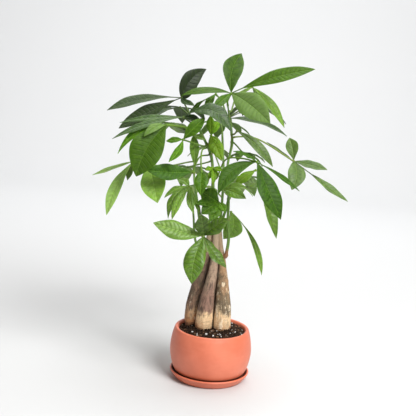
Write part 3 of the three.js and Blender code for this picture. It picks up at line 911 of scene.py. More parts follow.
@dataclass(frozen=True)
class GreenBark:
    """The smooth skin of a young shoot, corky brown at its foot."""

    green: Colour = (0.12, 0.25, 0.035)
    pale: Colour = (0.21, 0.33, 0.075)
    cork: Colour = (0.27, 0.13, 0.06)
    streaks: Cloud = Cloud(700, 3, stretch=(1, 1, 0.15))
    dots: Cloud = Cloud(1400, 2)
    streak_depth: float = 0.0003

    def material(self, name: str) -> bpy.types.Material:
        """Green with faint streaks and dots, turning to cork where the mesh says so.

        Args:
            name: the material's name.

        Returns:
            The material.
        """
        g = Graph(name)
        place = g.place()
        streak, dots = g.noise(self.streaks, place), g.noise(self.dots, place)
        colour = g.coated(
            self.green,
            (g.ease(streak, 0.4, 0.7), self.pale),
            (g.ease(g.mark("cork") + (streak - 0.5) * 0.6, 0.25, 0.75), self.cork),
            (g.ease(dots, 0.66, 0.74) * 0.5, self.cork),
        )
        return g.finish(colour, 0.5 + dots * 0.15, g.relief(streak + dots * 0.5, self.streak_depth))


@dataclass(frozen=True)
class LeafSkin:
    """A leaflet's skin: satin above, duller and paler below, with pale ribs.

    Ribbed is how much the side ribs show, cushion light how much lighter the cushions between
    them are painted, a painted highlight with painted shade along the ribs, and thin how much
    light the leaflet lets in, to a depth in metres that differs for red, green and blue.
    """

    slot: str
    deep: Colour
    top: Colour
    rib: Colour
    below: Colour
    stalk: Colour
    ribbed: float = 0.12
    sheen: float = 0.36
    gloss: float = 0.26
    cushion_light: float = 0.06
    thin: float = 0.45
    depth: float = 0.0012
    depths: Triple = (0.7, 1.0, 0.25)
    clouds: Cloud = Cloud(16, 4)
    net: float = 90.0
    rib_depth: float = 0.0004

    def material(self, name: str) -> bpy.types.Material:
        """Green skin that follows the ribs, sides and shades that the mesh carries.

        Args:
            name: the material's name.

        Returns:
            The material.
        """
        g = Graph(name)
        sheet = g.sheet()
        under, blade, shade, warm = (g.mark(kind) for kind in ("under", "blade", "shade", "warm"))
        off, rim = g.mark("off"), g.mark("rim")
        near_rib = g.math("PINGPONG", g.mark("ribs"), 0.5)
        side_rib = (1 - g.ease(near_rib, 0.02, 0.13)) * (1 - g.ease(rim, 0.6, 0.95)) * blade
        midrib = (1 - g.ease(off, 0.2, 0.75)) * blade
        # painted highlight on the cushions between the side ribs, and painted shade along them
        painted_cushion_light = (g.ease(near_rib, 0.08, 0.42) - 0.5) * (1 - g.ease(rim, 0.5, 0.9)) * blade
        cloud, net = g.noise(self.clouds, sheet), g.cells(sheet, self.net)
        skin_colour = g.coated(
            self.deep,
            (g.ease(cloud, 0.3, 0.7), self.top),
            (g.ease(warm, 0.0, 1.0) * 0.3, self.rib),
            (g.ease(rim, 0.94, 1.0) * 0.25, self.rib),
            # under also holds the painted sheen that pales some tops
            (under * 0.7, self.below),
            (side_rib * self.ribbed, self.rib),
            (midrib * 0.7, self.rib),
        )
        # the shade mark holds each leaflet's own tone and its painted light and shade
        colour = g.brighter(g.mix(blade, self.stalk, skin_colour), 1 + shade * 0.25 + painted_cushion_light * self.cushion_light)
        roughness = self.sheen + under * 0.2 + cloud * 0.12
        relief = g.relief(net * 0.3 + cloud * 0.4 - side_rib * 0.9 - midrib, self.rib_depth)
        g.plug(g.shader.inputs["Subsurface Radius"], self.depths)
        return g.finish(colour, roughness, relief, Specular_IOR_Level=self.gloss,
                        Subsurface_Weight=self.thin, Subsurface_Scale=self.depth)


class Tone(Enum):
    """The greens that the leaves have."""

    DARK = LeafSkin(
        "leaf_dark", deep=(0.022, 0.049, 0.01), top=(0.045, 0.085, 0.019), rib=(0.12, 0.17, 0.08),
        below=(0.085, 0.14, 0.035), stalk=(0.1, 0.16, 0.035), ribbed=0.12, sheen=0.37, gloss=0.3)
    DEEP = LeafSkin(
        "leaf_mid", deep=(0.024, 0.07, 0.004), top=(0.045, 0.115, 0.006), rib=(0.1, 0.2, 0.025),
        below=(0.12, 0.21, 0.03), stalk=(0.13, 0.23, 0.03), ribbed=0.06, sheen=0.42, gloss=0.12)
    MID = LeafSkin(
        "leaf_mid", deep=(0.036, 0.098, 0.004), top=(0.078, 0.17, 0.009), rib=(0.15, 0.29, 0.03),
        below=(0.19, 0.3, 0.085), stalk=(0.13, 0.23, 0.03), ribbed=0.06, sheen=0.4, gloss=0.14)
    OLIVE = LeafSkin(
        "leaf_mid", deep=(0.045, 0.095, 0.014), top=(0.09, 0.155, 0.03), rib=(0.17, 0.26, 0.06),
        below=(0.17, 0.25, 0.055), stalk=(0.16, 0.22, 0.04))
    LIGHT = LeafSkin(
        "leaf_light", deep=(0.085, 0.18, 0.011), top=(0.15, 0.28, 0.026), rib=(0.28, 0.43, 0.09),
        below=(0.3, 0.42, 0.14), stalk=(0.18, 0.28, 0.045), ribbed=0.22, sheen=0.34, gloss=0.36,
        cushion_light=0.18)
    FRESH = LeafSkin(
        "leaf_fresh", deep=(0.09, 0.215, 0.005), top=(0.165, 0.33, 0.011), rib=(0.32, 0.48, 0.05),
        below=(0.3, 0.45, 0.035), stalk=(0.2, 0.33, 0.03), ribbed=0.18, sheen=0.4, gloss=0.14)


# Sub-assemblies


def rounded(outline: Array, times: int, loop: bool) -> Array:
    """Cuts the corners of an outline again and again.

    Each step swaps a stretch for the points a quarter and three quarters along it.

    Args:
        outline: rows of radius and height.
        times: how many steps.
        loop: whether the last point joins the first.

    Returns:
        The rounded outline.
    """
    line = np.array(outline, dtype=float)
    for _ in range(times):
        ahead = np.roll(line, -1, axis=0) if loop else line[1:]
        here = line if loop else line[:-1]
        cut = np.stack([0.75 * here + 0.25 * ahead, 0.25 * here + 0.75 * ahead], 1).reshape(-1, 2)
        line = cut if loop else np.vstack([line[:1], cut, line[-1:]])
    return line


@dataclass
class ClayWare:
    """The planter and the saucer that it stands in, in millimetres.

    The outlines are rows of radius and height. Outside and inside are drawn as curves of fine
    steps, and then the corners of each whole outline are cut a few times.
    """

    segments: int = 160
    fine: int = 8
    outside: Outline = (
        (47, 5), (52.5, 10), (58.5, 22), (62.5, 43), (61.4, 60), (58.6, 73), (57, 77.5))
    lip: Outline = ((56.6, 79.2), (54.9, 80), (52.6, 79.7), (51.3, 78))
    inside: Outline = ((43, 12), (52.5, 22), (56.5, 43), (54.5, 62), (50.5, 75))
    drain: Outline = ((6, 12), (6, 5.2), (44.5, 5.2))
    saucer: Outline = (
        (2, 0), (50.5, 0), (53.5, 1.2), (58, 7.5), (61, 11.5), (60.9, 12.9), (59.8, 13.6), (58.4, 13.3),
        (57, 11.5), (53.5, 5.8), (51.5, 5), (2, 5))
    pot_cuts: int = 2
    saucer_cuts: int = 3
    crease: float = 60.0
    finish: Terracotta = field(default_factory=Terracotta)

    def pot(self) -> Patch:
        """The planter: up its outside, over the rolled lip, down its inside and through its drain.

        Returns:
            The patch.
        """
        outer = centripetal(np.array(self.outside), self.fine)[0]
        inner = centripetal(np.array(self.inside), self.fine)[0][::-1]
        outline = np.vstack([outer, self.lip, inner, self.drain])
        return turned(rounded(outline, self.pot_cuts, True), self.segments)

    def dish(self) -> Patch:
        """The saucer: out along its foot, over its rim and back to its middle."""
        outline = rounded(np.array(self.saucer), self.saucer_cuts, False)
        return skin(circles(*outline.T, self.segments), np.zeros((len(outline), self.segments, 2)))

    def build(self) -> None:
        """Makes both in place of their solids."""
        clay = self.finish.material("terracotta_clay")
        for node, patch in (("pot", self.pot()), ("saucer", self.dish())):
            made = piece(f"terracotta_{node}", [patch], clay, self.crease)
            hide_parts(node)


@dataclass(frozen=True)
class Swell:
    """Humps of one size: how high they are, how far apart, what picks them and of how many waves."""

    high: float
    apart: float
    seed: int
    waves: int


@dataclass(frozen=True)
class Strewn:
    """Bits that lie about on the soil, in millimetres.

    Their half sizes run from small to large. The middle of a bit lies sunk half sizes under the
    surface, and flat is its height over its width.
    """

    count: int
    small: float
    large: float
    seed: int
    sunk: float = 0.0
    flat: float = 0.8


@dataclass
class Bed:
    """The soil in the pot, with crumbs, white grit and bits of bark lying on it, in millimetres.

    The top is heaped from the heap's foot to its shoulder, and its rings run between the two
    radii of top. Bits lie within a radius, and the higher their rarity, the fewer are large.
    Crumbs at a stem's foot start from a share of the stem's radius, the hug, and lie astray of
    that and piled over the top between two ends each.
    """

    edge: float = 75.0
    heap: float = 8.6
    heap_foot: float = 50.0
    shoulder: float = 32.0
    swells: tuple[Swell, ...] = (
        Swell(0.9, 9, 11, 7), Swell(0.6, 2.4, 12, 9), Swell(0.35, 0.9, 13, 11))
    wall: Outline = ((3, 12.2), (43, 12.2), (52.3, 22.2), (56.2, 43), (54.2, 62), (51, 73))
    top: Pair = (50.6, 0.6)
    rings: int = 84
    spokes: int = 168
    within: float = 49.0
    rarity: float = 2.2
    uneven: Pair = (0.7, 1.3)
    crumbs: Strewn = Strewn(900, 0.5, 2.4, 21, sunk=0.1)
    grains: Strewn = Strewn(95, 0.4, 1.6, 31)
    chips: Strewn = Strewn(170, 0.7, 2.6, 41, flat=0.45)
    collar: int = 90
    collar_seed: int = 51
    hug: float = 0.94
    astray: Pair = (-0.8, 2.2)
    piled: Pair = (-0.4, 2.6)
    collar_sizes: Pair = (0.6, 1.9)
    pebbles: tuple[Triple, ...] = (
        (-8.5, -39.0, 2.0), (2.0, -41.0, 1.5), (-22.0, -37.0, 1.3), (14.0, -40.0, 1.1))
    pebble_shape: Triple = (1.1, 0.9, 0.9)
    pebble_lift: float = 0.3
    pebble_seed: int = 61
    smooth_crease: float = 180.0
    bit_crease: float = 30.0
    soil: PottingMix = field(default_factory=PottingMix)
    white: Grit = Grit((0.42, 0.4, 0.37), (0.8, 0.79, 0.76))
    brown: Grit = Grit((0.045, 0.022, 0.012), (0.22, 0.115, 0.055))

    def rise(self, x: Array, y: Array) -> Array:
        """Height of the crumbly top: a smooth step up to the heap, with humps and small lumps.

        Args:
            x: places across.
            y: places behind.

        Returns:
            A height for each place.
        """
        share = np.clip((self.heap_foot - np.hypot(x, y)) / (self.heap_foot - self.shoulder), 0, 1)
        height = self.edge + self.heap * share**2 * (3 - 2 * share)
        for swell in self.swells:
            humps = ripple(x / swell.apart, y / swell.apart, swell.seed, swell.waves)
            height = height + swell.high * humps
        return height

    def body(self) -> Patch:
        """The whole body of soil: out over the floor, up the wall, and in over the top.

        A top point at radius r and angle a lies at the height of the crumbly top there.

        Returns:
            The patch.
        """
        radii, heights = np.array(self.wall).T
        inward = np.linspace(*self.top, self.rings)
        rings = circles(np.append(radii, inward), np.append(heights, 0 * inward), self.spokes)
        lying = rings[len(radii):]
        lying[..., 2] = self.rise(lying[..., 0], lying[..., 1])
        return skin(rings, np.zeros((*rings.shape[:2], 2)))

    def scattered(self, bits: Strewn) -> Patch:
        """Bits that lie on the top.

        Args:
            bits: how many, how large and how deep they lie.

        Returns:
            The patch.
        """
        rng = np.random.default_rng(bits.seed)
        radius = self.within * np.sqrt(rng.uniform(0, 1, bits.count))
        turn = rng.uniform(0, 2 * np.pi, bits.count)
        size = bits.small + (bits.large - bits.small) * rng.uniform(0, 1, bits.count) ** self.rarity
        x, y = radius * np.cos(turn), radius * np.sin(turn)
        middles = np.stack([x, y, self.rise(x, y) - bits.sunk * size], -1)
        wide, deep = (rng.uniform(*self.uneven, bits.count) for _ in range(2))
        sizes = size[:, None] * np.stack([wide, deep, np.full(bits.count, bits.flat)], -1)
        return lumps(middles, sizes, bits.seed + 1)

    def collars(self, wood: Wood) -> Patch:
        """Crumbs that cling about the foot of every stem.

        Args:
            wood: the stems.

        Returns:
            The patch.
        """
        rng = np.random.default_rng(self.collar_seed)
        ways = rng.uniform(0, 2 * np.pi, (len(wood.runs), self.collar))
        feet = np.array([run.crossing(self.edge + self.heap)[:2] for run in wood.runs.values()])
        reach = np.array([run.radii[0] for run in wood.runs.values()])[:, None] * self.hug
        off = reach + rng.uniform(*self.astray, ways.shape)
        piled = rng.uniform(*self.piled, ways.shape)
        x, y = feet[:, :1] + off * np.cos(ways), feet[:, 1:] + off * np.sin(ways)
        size = rng.uniform(*self.collar_sizes, ways.shape)
        middles = np.stack([x, y, self.rise(x, y) + piled], -1).reshape(-1, 3)
        sizes = size.reshape(-1, 1) * rng.uniform(*self.uneven, (ways.size, 3))
        return lumps(middles, sizes, self.collar_seed + 1)

    def largest(self) -> Patch:
        """The few large pale grains at the front.

        Returns:
            The patch.
        """
        x, y, size = np.array(self.pebbles).T
        middles = np.stack([x, y, self.rise(x, y) + self.pebble_lift * size], -1)
        return lumps(middles, size[:, None] * np.array([self.pebble_shape]), self.pebble_seed)

    def build(self, wood: Wood) -> None:
        """Makes the soil in place of its solid, and strews it.

        Args:
            wood: the stems.
        """
        mix = self.soil.material("potting_mix")
        made = piece("potting_soil", [self.body()], mix, self.smooth_crease)
        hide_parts("soil")
        white, brown = self.white.material("white_grit"), self.brown.material("brown_bark_bits")
        for name, patches, finish in (
            ("soil_crumbs", [self.scattered(self.crumbs), self.collars(wood)], mix),
            ("white_grains", [self.scattered(self.grains), self.largest()], white),
            ("bark_bits", [self.scattered(self.chips)], brown),
        ):
            loose = piece(name, patches, finish, self.bit_crease)


@dataclass(frozen=True)
class Station:
    """One place that a stem passes, and its radius there, in millimetres."""

    across: float
    up: float
    forward: float
    radius: float


@dataclass(frozen=True)
class Foot:
    """Where a shoot leaves its stem: how far up, and on which side, or on the cut top."""

    stem: str
    part: float
    side: float | None


@dataclass(frozen=True)
class Shoot:
    """A green shoot: its foot, its radii at foot and tip, and the places that it passes."""

    foot: Foot
    radii: Pair
    path: tuple[Triple, ...]


@dataclass(frozen=True)
class Blade:
    """One leaflet, its tip measured from the front.

    Its face is turned from the viewer by an angle, it is arched and swept in the middle, it
    starts past a bare neck, which is a share of its length, and a larger skew makes it widest
    nearer to its tip. Glow is painted light and shade: how much lighter or darker than usual it
    is painted, in steps of a quarter. Dull and sheen is how much its top looks like its
    underside, rougher and paler, and the paler colour is a painted sheen.
    """

    across: float
    up: float
    forward: float
    width: float
    turn: float
    arch: float
    sweep: float
    neck: float = 0.0
    skew: float = 1.15
    glow: float = 0.0
    dull_and_sheen: float = 0.0


@dataclass(frozen=True)
class FrontLeaf:
    """A leaf read from the front: where it grows, what its stalk passes, its hub and leaflets.

    Crisp is how much stronger than usual its leaflets curl, wave and quilt.
    """

    tone: Tone
    grows_on: str
    part: float
    via: tuple[Triple, ...]
    hub: Triple
    blades: tuple[Blade, ...]
    crisp: float = 1.0


@dataclass(frozen=True)
class FanLeaf:
    """A leaf on the far side: where it grows, its hub, and an even fan of leaflets about a heading."""

    tone: Tone
    grows_on: str
    part: float
    hub: Triple
    heading: float
    count: int
    length: float


STEMS: dict[str, tuple[Station, ...]] = {
    "trunk_1": (
        Station(-13.5, 41, 19, 13.3),
        Station(-13, 82, 19, 13.2),
        Station(-11, 110, 18.5, 11.9),
        Station(-7.8, 138, 17, 9.2),
        Station(-3.6, 167, 14, 6.8),
        Station(-2.4, 190, 11.5, 5.3),
        Station(-3, 226, 9, 4.4),
    ),
    "trunk_2": (
        Station(15.5, 42, 17, 13.5),
        Station(15, 83, 17, 13.4),
        Station(14.6, 112, 16, 12.1),
        Station(13, 140, 13, 9),
        Station(10.1, 168, 8, 6.6),
        Station(8.3, 184, 5, 5.6),
        Station(4.3, 203, 2, 4.8),
        Station(1.3, 226, -1, 4.3),
    ),
    "trunk_3": (
        Station(-31.5, 45, -1, 13),
        Station(-31.2, 80, -1, 13.1),
        Station(-30.8, 109, -1, 12.1),
        Station(-27, 137, 0, 10),
        Station(-21.3, 166, 2, 7.8),
        Station(-17.6, 181, 3, 6.2),
        Station(-14.3, 202, 3, 5),
        Station(-12.5, 222, 3, 4.4),
    ),
    "trunk_4": (
        Station(-14, 48, -21, 11.3),
        Station(-14, 86, -21, 11.3),
        Station(-14, 115, -19, 10.2),
        Station(-13.5, 145, -15, 8),
        Station(-12, 175, -11.5, 5.8),
        Station(-10, 205, -9, 4.6),
        Station(-9, 226, -8, 4.3),
    ),
    "trunk_5": (
        Station(10, 48, -18, 11.3),
        Station(10, 86, -18, 11.3),
        Station(9.2, 115, -17, 10),
        Station(7, 145, -15, 7.8),
        Station(5, 175, -13, 5.6),
        Station(2.4, 205, -12, 4.6),
        Station(0, 224, -12, 4.2),
    ),
}

SHOOTS: dict[str, Shoot] = {
    "shoot_1": Shoot(Foot("trunk_2", 0.8, 56), (2.5, 1.1), (
        (17, 215, 12), (14, 244, 12), (13, 275, 10), (8, 328, 8), (13, 366, 6), (10, 380, 5), (2, 422, 5))),
    "shoot_2": Shoot(Foot("trunk_1", 1, None), (2.4, 1.5), (
        (-12, 290, 8), (-15, 323, 12), (-21, 351, 16), (-29, 363, 18), (-44, 388, 22), (-52, 399, 24))),
    "shoot_3": Shoot(Foot("trunk_3", 0.78, -60), (1.9, 1.3), (
        (-36, 215, 16), (-40, 248, 25), (-46, 287, 35))),
    "shoot_4": Shoot(Foot("trunk_3", 0.92, -100), (2.1, 1.4), (
        (-31, 245, 4), (-36, 272, 8), (-42, 300, 14), (-44, 326, 18))),
    "shoot_5": Shoot(Foot("trunk_4", 1, None), (2.3, 1.6), (
        (-13, 290, -24), (-16, 330, -36), (-28, 362, -48), (-50, 396, -62))),
    "shoot_6": Shoot(Foot("trunk_5", 1, None), (2.3, 1.6), (
        (13, 280, -24), (8, 328, -38), (12, 364, -50), (8, 400, -62))),
    "shoot_7": Shoot(Foot("trunk_2", 1, None), (2.2, 1.6), ((3, 270, -6), (2, 320, -28), (-4, 380, -58))),
}

# Each blade's glow is painted light and shade, and paling its top to its underside is a painted sheen.
FRONT_LEAVES: dict[str, FrontLeaf] = {
    "leaf_01": FrontLeaf(Tone.MID, "shoot_1", 1, (), (6, 441, 15), (
        Blade(18, 504, -15, 30, -10, 5, 8, glow=-1.8),
        Blade(134, 487, 25, 22, 28, 7, 2, 0.12, 1.2, glow=-0.6),
        Blade(-71, 432, 32, 20, -60, 7, 0, glow=-1.2),
        Blade(70, 398, 72, 37, 15, 7, 2, 0, 1.1, glow=-0.4, dull_and_sheen=0.95),
        Blade(-21, 413, 48, 14, -20, 3, 0, glow=-1.0),
        Blade(4, 465, -85, 18, -10, 8, 0),
    )),
    "leaf_02": FrontLeaf(Tone.LIGHT, "shoot_1", 0.96, ((16, 440, -14),), (38, 453, -20), (
        Blade(92, 393, -25, 17, 40, 2, 5, glow=-0.5),
        Blade(18, 441, -5, 5, 0, 2, 0),
        Blade(52, 428, -60, 14, 20, 4, 0),
    )),
    "leaf_03": FrontLeaf(Tone.DARK, "shoot_2", 1, (), (-71, 429, 14), (
        Blade(-35, 476, -10, 28, -18, 5, 9, 0, 0.65, glow=-2.3, dull_and_sheen=0.6),
        Blade(-185, 402, 20, 21, -50, 5, -5, 0.04, 1.5, glow=-0.4),
        Blade(-165, 375, 15, 28, -43, 0, -3, 0.06, 1.35, glow=-2.1, dull_and_sheen=0.6),
        Blade(-50, 418, 50, 13, 45, 0, -3),
        Blade(-53, 454, -70, 18, 0, 8, 0),
    ), 0.9),
    "leaf_04": FrontLeaf(Tone.DARK, "shoot_2", 0.96, (), (-66, 399, 42), (
        Blade(-174, 358, 66, 13, -45, 7, -1, glow=2.4),
        Blade(-164, 384, 45, 12, -50, 4, 0, glow=2.0),
        Blade(11, 380, 64, 29, 45, 18, 12, 0, 1.3),
        Blade(-38, 394, 36, 12, 30, 3, 0),
    )),
    "leaf_05": FrontLeaf(Tone.MID, "shoot_1", 0.93, ((-8, 428, -8),), (-18, 438, -5), (
        Blade(-58, 405, -15, 13, -65, 3, 0, 0.3, glow=-1.2),
        Blade(-33, 412, 10, 12, -30, 3, 0),
    ), 1.5),
    "leaf_06": FrontLeaf(Tone.DARK, "shoot_1", 0.89, (), (4, 402, -12), (
        Blade(97, 380, -20, 20, 66, 8, 0, 0.03, 1),
        Blade(48, 420, -75, 22, 20, 8, 0, 0.25),
    )),
    "leaf_07": FrontLeaf(Tone.MID, "shoot_2", 0.92, ((-75, 385, 48),), (-91, 385, 54), (
        Blade(-133, 302, 75, 47, -8, 8, -6, glow=-0.4),
        Blade(-125, 365, 76, 13, -35, 5, -2, glow=-0.2, dull_and_sheen=1.0),
        Blade(-164, 335, 62, 12, -30, 6, -11, glow=3.0),
    ), 0.6),
    "leaf_08": FrontLeaf(Tone.LIGHT, "shoot_4", 1, ((-90, 321, 8),), (-138, 326, 12), (
        Blade(-201, 300, 5, 16, -68, 0, 2, glow=0.7, dull_and_sheen=0.6),
        Blade(-175, 239, 45, 17, -12, 8, -5, 0, 1.4, glow=2.4, dull_and_sheen=0.6),
        Blade(-146, 295, 20, 11, -30, 2, 0, glow=-1.6),
        Blade(-125, 345, -50, 24, -10, 5, 0),
    )),
    "leaf_09": FrontLeaf(Tone.MID, "shoot_2", 0.75, (), (-64, 364, 60), (
        Blade(-84, 328, 80, 13, -30, 0, 4, glow=1.5),
        Blade(-90, 360, 55, 13, -50, 1, 0),
        Blade(-32, 400, 56, 18, 10, 4, 0, glow=0.6),
    )),
    "leaf_10": FrontLeaf(Tone.LIGHT, "shoot_2", 0.82, (), (-48, 372, 26), (
        Blade(-43, 324, 24, 14, 10, 2, 0, 0, 0.75),
        Blade(-88, 384, 15, 20, -45, 3, 0, glow=-1.8),
        Blade(-30, 366, 42, 10, 30, 2, 0),
    )),
    "leaf_11": FrontLeaf(Tone.DEEP, "shoot_2", 0.66, ((-36, 339, 34),), (-46, 315, 50), (
        Blade(-118, 313, 72, 24, -15, 1, 2, glow=0.7),
    )),
    "leaf_12": FrontLeaf(Tone.LIGHT, "shoot_4", 0.9, ((-80, 314, 20),), (-114, 325, 24), (
        Blade(-97, 263, 60, 37, -10, 5, 1, glow=1.5),
    )),
    "leaf_13": FrontLeaf(Tone.LIGHT, "shoot_3", 1, (), (-49, 292, 42), (
        Blade(-87, 272, 50, 14, -55, 5, 0),
        Blade(-79, 240, 70, 14, -40, 12, -3, glow=-1.0),
        Blade(-73, 239, 58, 12, -10, 8, -3),
        Blade(-40, 250, 60, 11, 15, 3, -3),
        Blade(-28, 247, 45, 7, 10, 3, 0),
        Blade(-66, 302, 25, 15, -40, 3, 0),
    ), 1.6),
    "leaf_14": FrontLeaf(Tone.MID, "shoot_2", 0.73, ((-33, 350, 40), (-34, 333, 58),), (-32, 316, 66), (
        Blade(-31, 279, 78, 19, 0, 3, 0, 0, 0.8, glow=0.6),
    ), 1.4),
    "leaf_15": FrontLeaf(Tone.MID, "shoot_2", 0.2, (), (-2, 270, 30), (
        Blade(-31, 286, 42, 28, 0, 4, 0, glow=0.7),
        Blade(-38, 266, 52, 14, -30, 3, 0),
        Blade(-28, 250, 56, 22, -20, 4, 0, glow=0.5),
        Blade(-14, 239, 58, 18, 0, 3, 0, glow=-0.5),
        Blade(9, 256, 45, 14, 20, 3, 0),
    ), 2.4),
    "leaf_16": FrontLeaf(Tone.FRESH, "shoot_2", 0.47, (), (-15, 323, 55), (
        Blade(-27, 319, 65, 8, -20, 2, 0),
        Blade(1, 320, 66, 9, 30, 2, 0),
        Blade(-13, 297, 70, 8, 20, 3, 0),
        Blade(-20, 305, 60, 7, 0, 2, 0),
        Blade(-6, 310, 50, 7, 0, 2, 0),
    ), 1.8),
    "leaf_17": FrontLeaf(Tone.FRESH, "shoot_2", 0.7, (), (-21, 373, 24), (
        Blade(-24, 405, 25, 13, 0, 3, 0),
        Blade(-2, 335, 42, 20, 10, 5, 0, 0, 0.85, glow=-1.0),
        Blade(-10, 397, 10, 12, 20, 3, 0),
        Blade(-14, 352, 36, 12, 0, 3, 0),
    ), 2.2),
    "leaf_18": FrontLeaf(Tone.LIGHT, "trunk_3", 0.85, (), (-22, 217, 62), (
        Blade(-102, 232, 70, 28, -22, 0, 2, glow=-0.9),
        Blade(-36, 141, 85, 31, -5, 6, -4, glow=-0.7),
        Blade(16, 170, 72, 22, 45, 0, -3, glow=-1.2),
        Blade(15, 246, 75, 24, 30, 4, 0, glow=-1.5),
        Blade(-28, 250, 78, 24, -10, 3, 0, glow=-2.0),
    ), 2.1),
    "leaf_19": FrontLeaf(Tone.LIGHT, "shoot_1", 0.25, (), (18, 257, -2), (
        Blade(9, 214, 2, 29, 12, 4, 9, glow=1.0),
        Blade(72, 162, 10, 16, 50, 3, 13, 0.15, 1.7, glow=-0.6),
    )),
    "leaf_20": FrontLeaf(Tone.LIGHT, "shoot_1", 0.42, (), (2, 292, 30), (
        Blade(40, 279, 48, 17, 25, 3, 0),
        Blade(39, 297, 35, 14, 30, 3, 0),
    )),
    "leaf_21": FrontLeaf(Tone.FRESH, "shoot_1", 0.52, (), (52, 324, 18), (
        Blade(21, 298, 30, 15, -25, 3, 0, glow=-1.0),
    )),
    "leaf_22": FrontLeaf(Tone.LIGHT, "shoot_1", 0.46, (), (64, 300, 5), (
        Blade(31, 304, 10, 18, -40, 3, 0, glow=-2.4),
        Blade(91, 220, 30, 19, 35, 7, -3, glow=-0.8),
    )),
    "leaf_23": FrontLeaf(Tone.DEEP, "shoot_2", 0.45, ((5, 338, 34), (30, 341, 50),), (53, 337, 58), (
        Blade(15, 351, 70, 11, -62, 3, 0),
        Blade(-4, 283, 88, 24, -25, 6, -11),
        Blade(96, 250, 85, 32, 30, 6, -4),
        Blade(122, 296, 50, 16, 65, 0, 5, 0.1, 1.35),
    ), 1.3),
    "leaf_24": FrontLeaf(Tone.OLIVE, "shoot_1", 0.79, ((47, 374, -2),), (110, 342, -5), (
        Blade(101, 378, -15, 19, 5, 3, -2, 0, 1.35),
        Blade(163, 332, 10, 18, 48, 1, 0),
        Blade(110, 297, 25, 27, 10, 4, 5, 0, 1),
        Blade(198, 285, 0, 13, 40, -2, 2, 0.3),
        Blade(66, 369, -45, 10, -68, 0, 0),
    )),
    "leaf_25": FrontLeaf(Tone.OLIVE, "shoot_1", 0.81, (), (19, 383, 14), (
        Blade(78, 331, 30, 17, 32, 9, 1, glow=-0.4),
    )),
}

BACK_LEAVES: dict[str, FanLeaf] = {
    "leaf_26": FanLeaf(Tone.DARK, "shoot_5", 1, (-72, 414, -76), 215, 5, 84),
    "leaf_27": FanLeaf(Tone.MID, "shoot_5", 0.85, (-80, 388, -48), 245, 5, 62),
    "leaf_28": FanLeaf(Tone.MID, "shoot_5", 0.6, (-54, 322, -82), 190, 5, 86),
    "leaf_29": FanLeaf(Tone.DARK, "shoot_6", 1, (42, 428, -80), 160, 5, 74),
    "leaf_30": FanLeaf(Tone.MID, "shoot_6", 0.8, (30, 350, -72), 152, 5, 46),
    "leaf_31": FanLeaf(Tone.MID, "shoot_6", 0.5, (34, 312, -86), 156, 5, 70),
    "leaf_32": FanLeaf(Tone.MID, "shoot_7", 1, (-8, 396, -100), 184, 5, 72),
    "leaf_33": FanLeaf(Tone.LIGHT, "shoot_7", 0.6, (-18, 356, -99), 182, 5, 54),
    "leaf_34": FanLeaf(Tone.LIGHT, "shoot_5", 0.3, (-32, 294, -62), 190, 5, 62),
    "leaf_35": FanLeaf(Tone.LIGHT, "shoot_6", 0.3, (22, 300, -56), 160, 5, 42),
}

BARKS: dict[str, Bark] = {
    "trunk_1": Bark((0.29, 0.165, 0.115), (0.42, 0.285, 0.195), scarred_and_highlit=-0.4, cracked=0.7),
    "trunk_2": Bark((0.15, 0.115, 0.065), (0.4, 0.235, 0.12), low_line=0.112, middle_line=0.132,
                    scarred_and_highlit=0.8, cracked=0.75),
    "trunk_3": Bark((0.27, 0.16, 0.1), (0.2, 0.125, 0.08), (0.62, 0.4, 0.22), rust_line=0.098,
                    cracked=0.85),
    "trunk_4": Bark((0.16, 0.095, 0.06), (0.2, 0.12, 0.075), (0.4, 0.25, 0.14)),
    "trunk_5": Bark((0.2, 0.13, 0.085), (0.36, 0.23, 0.14)),
}


@dataclass(frozen=True)
class Grain:
    """An unevenness of a round skin, in millimetres.

    It is high times the ripple of cos * about + walked / lean and sin * about + walked / along,
    where the angle runs round the stem and walked runs up it.
    """

    high: float
    about: float
    along: float
    lean: float = math.inf
    seed: int = 0
    waves: int = 7

    def over(self, turn: Array, walked: Array, seed: int) -> Array:
        """The unevenness of a skin.

        Args:
            turn: angles round it.
            walked: lengths up it.
            seed: picks it, with the grain's own seed.

        Returns:
            How much the skin stands out.
        """
        x = np.cos(turn) * self.about + walked / self.lean
        y = np.sin(turn) * self.about + walked / self.along
        return ripple(x, y, seed + self.seed, self.waves) * self.high


@dataclass(frozen=True)
class Band:
    """A stretch where something shows most. It fades as a bell away from its middle."""

    middle: float
    width: float

    def at(self, x: Array) -> Array:
        """How much it shows, from 0 to 1."""
        return bell((x - self.middle) / self.width)


@dataclass(frozen=True)
class Knots:
    """The knots of a stem: rings of bark that rise round a hole, in millimetres.

    They lie between two parts of its length and have a radius between two ends. Squat is how
    much wider than high they are. Rise is their height over their radius, the pit and the dark
    hole are so many times narrower than they are, and the hole is so dark.
    """

    count: int = 7
    parts: Pair = (0.25, 0.97)
    widths: Pair = (1.6, 3.4)
    squat: float = 1.5
    rise: float = 0.3
    pit: float = 2.4
    hole: float = 2.2
    dark: float = 0.5


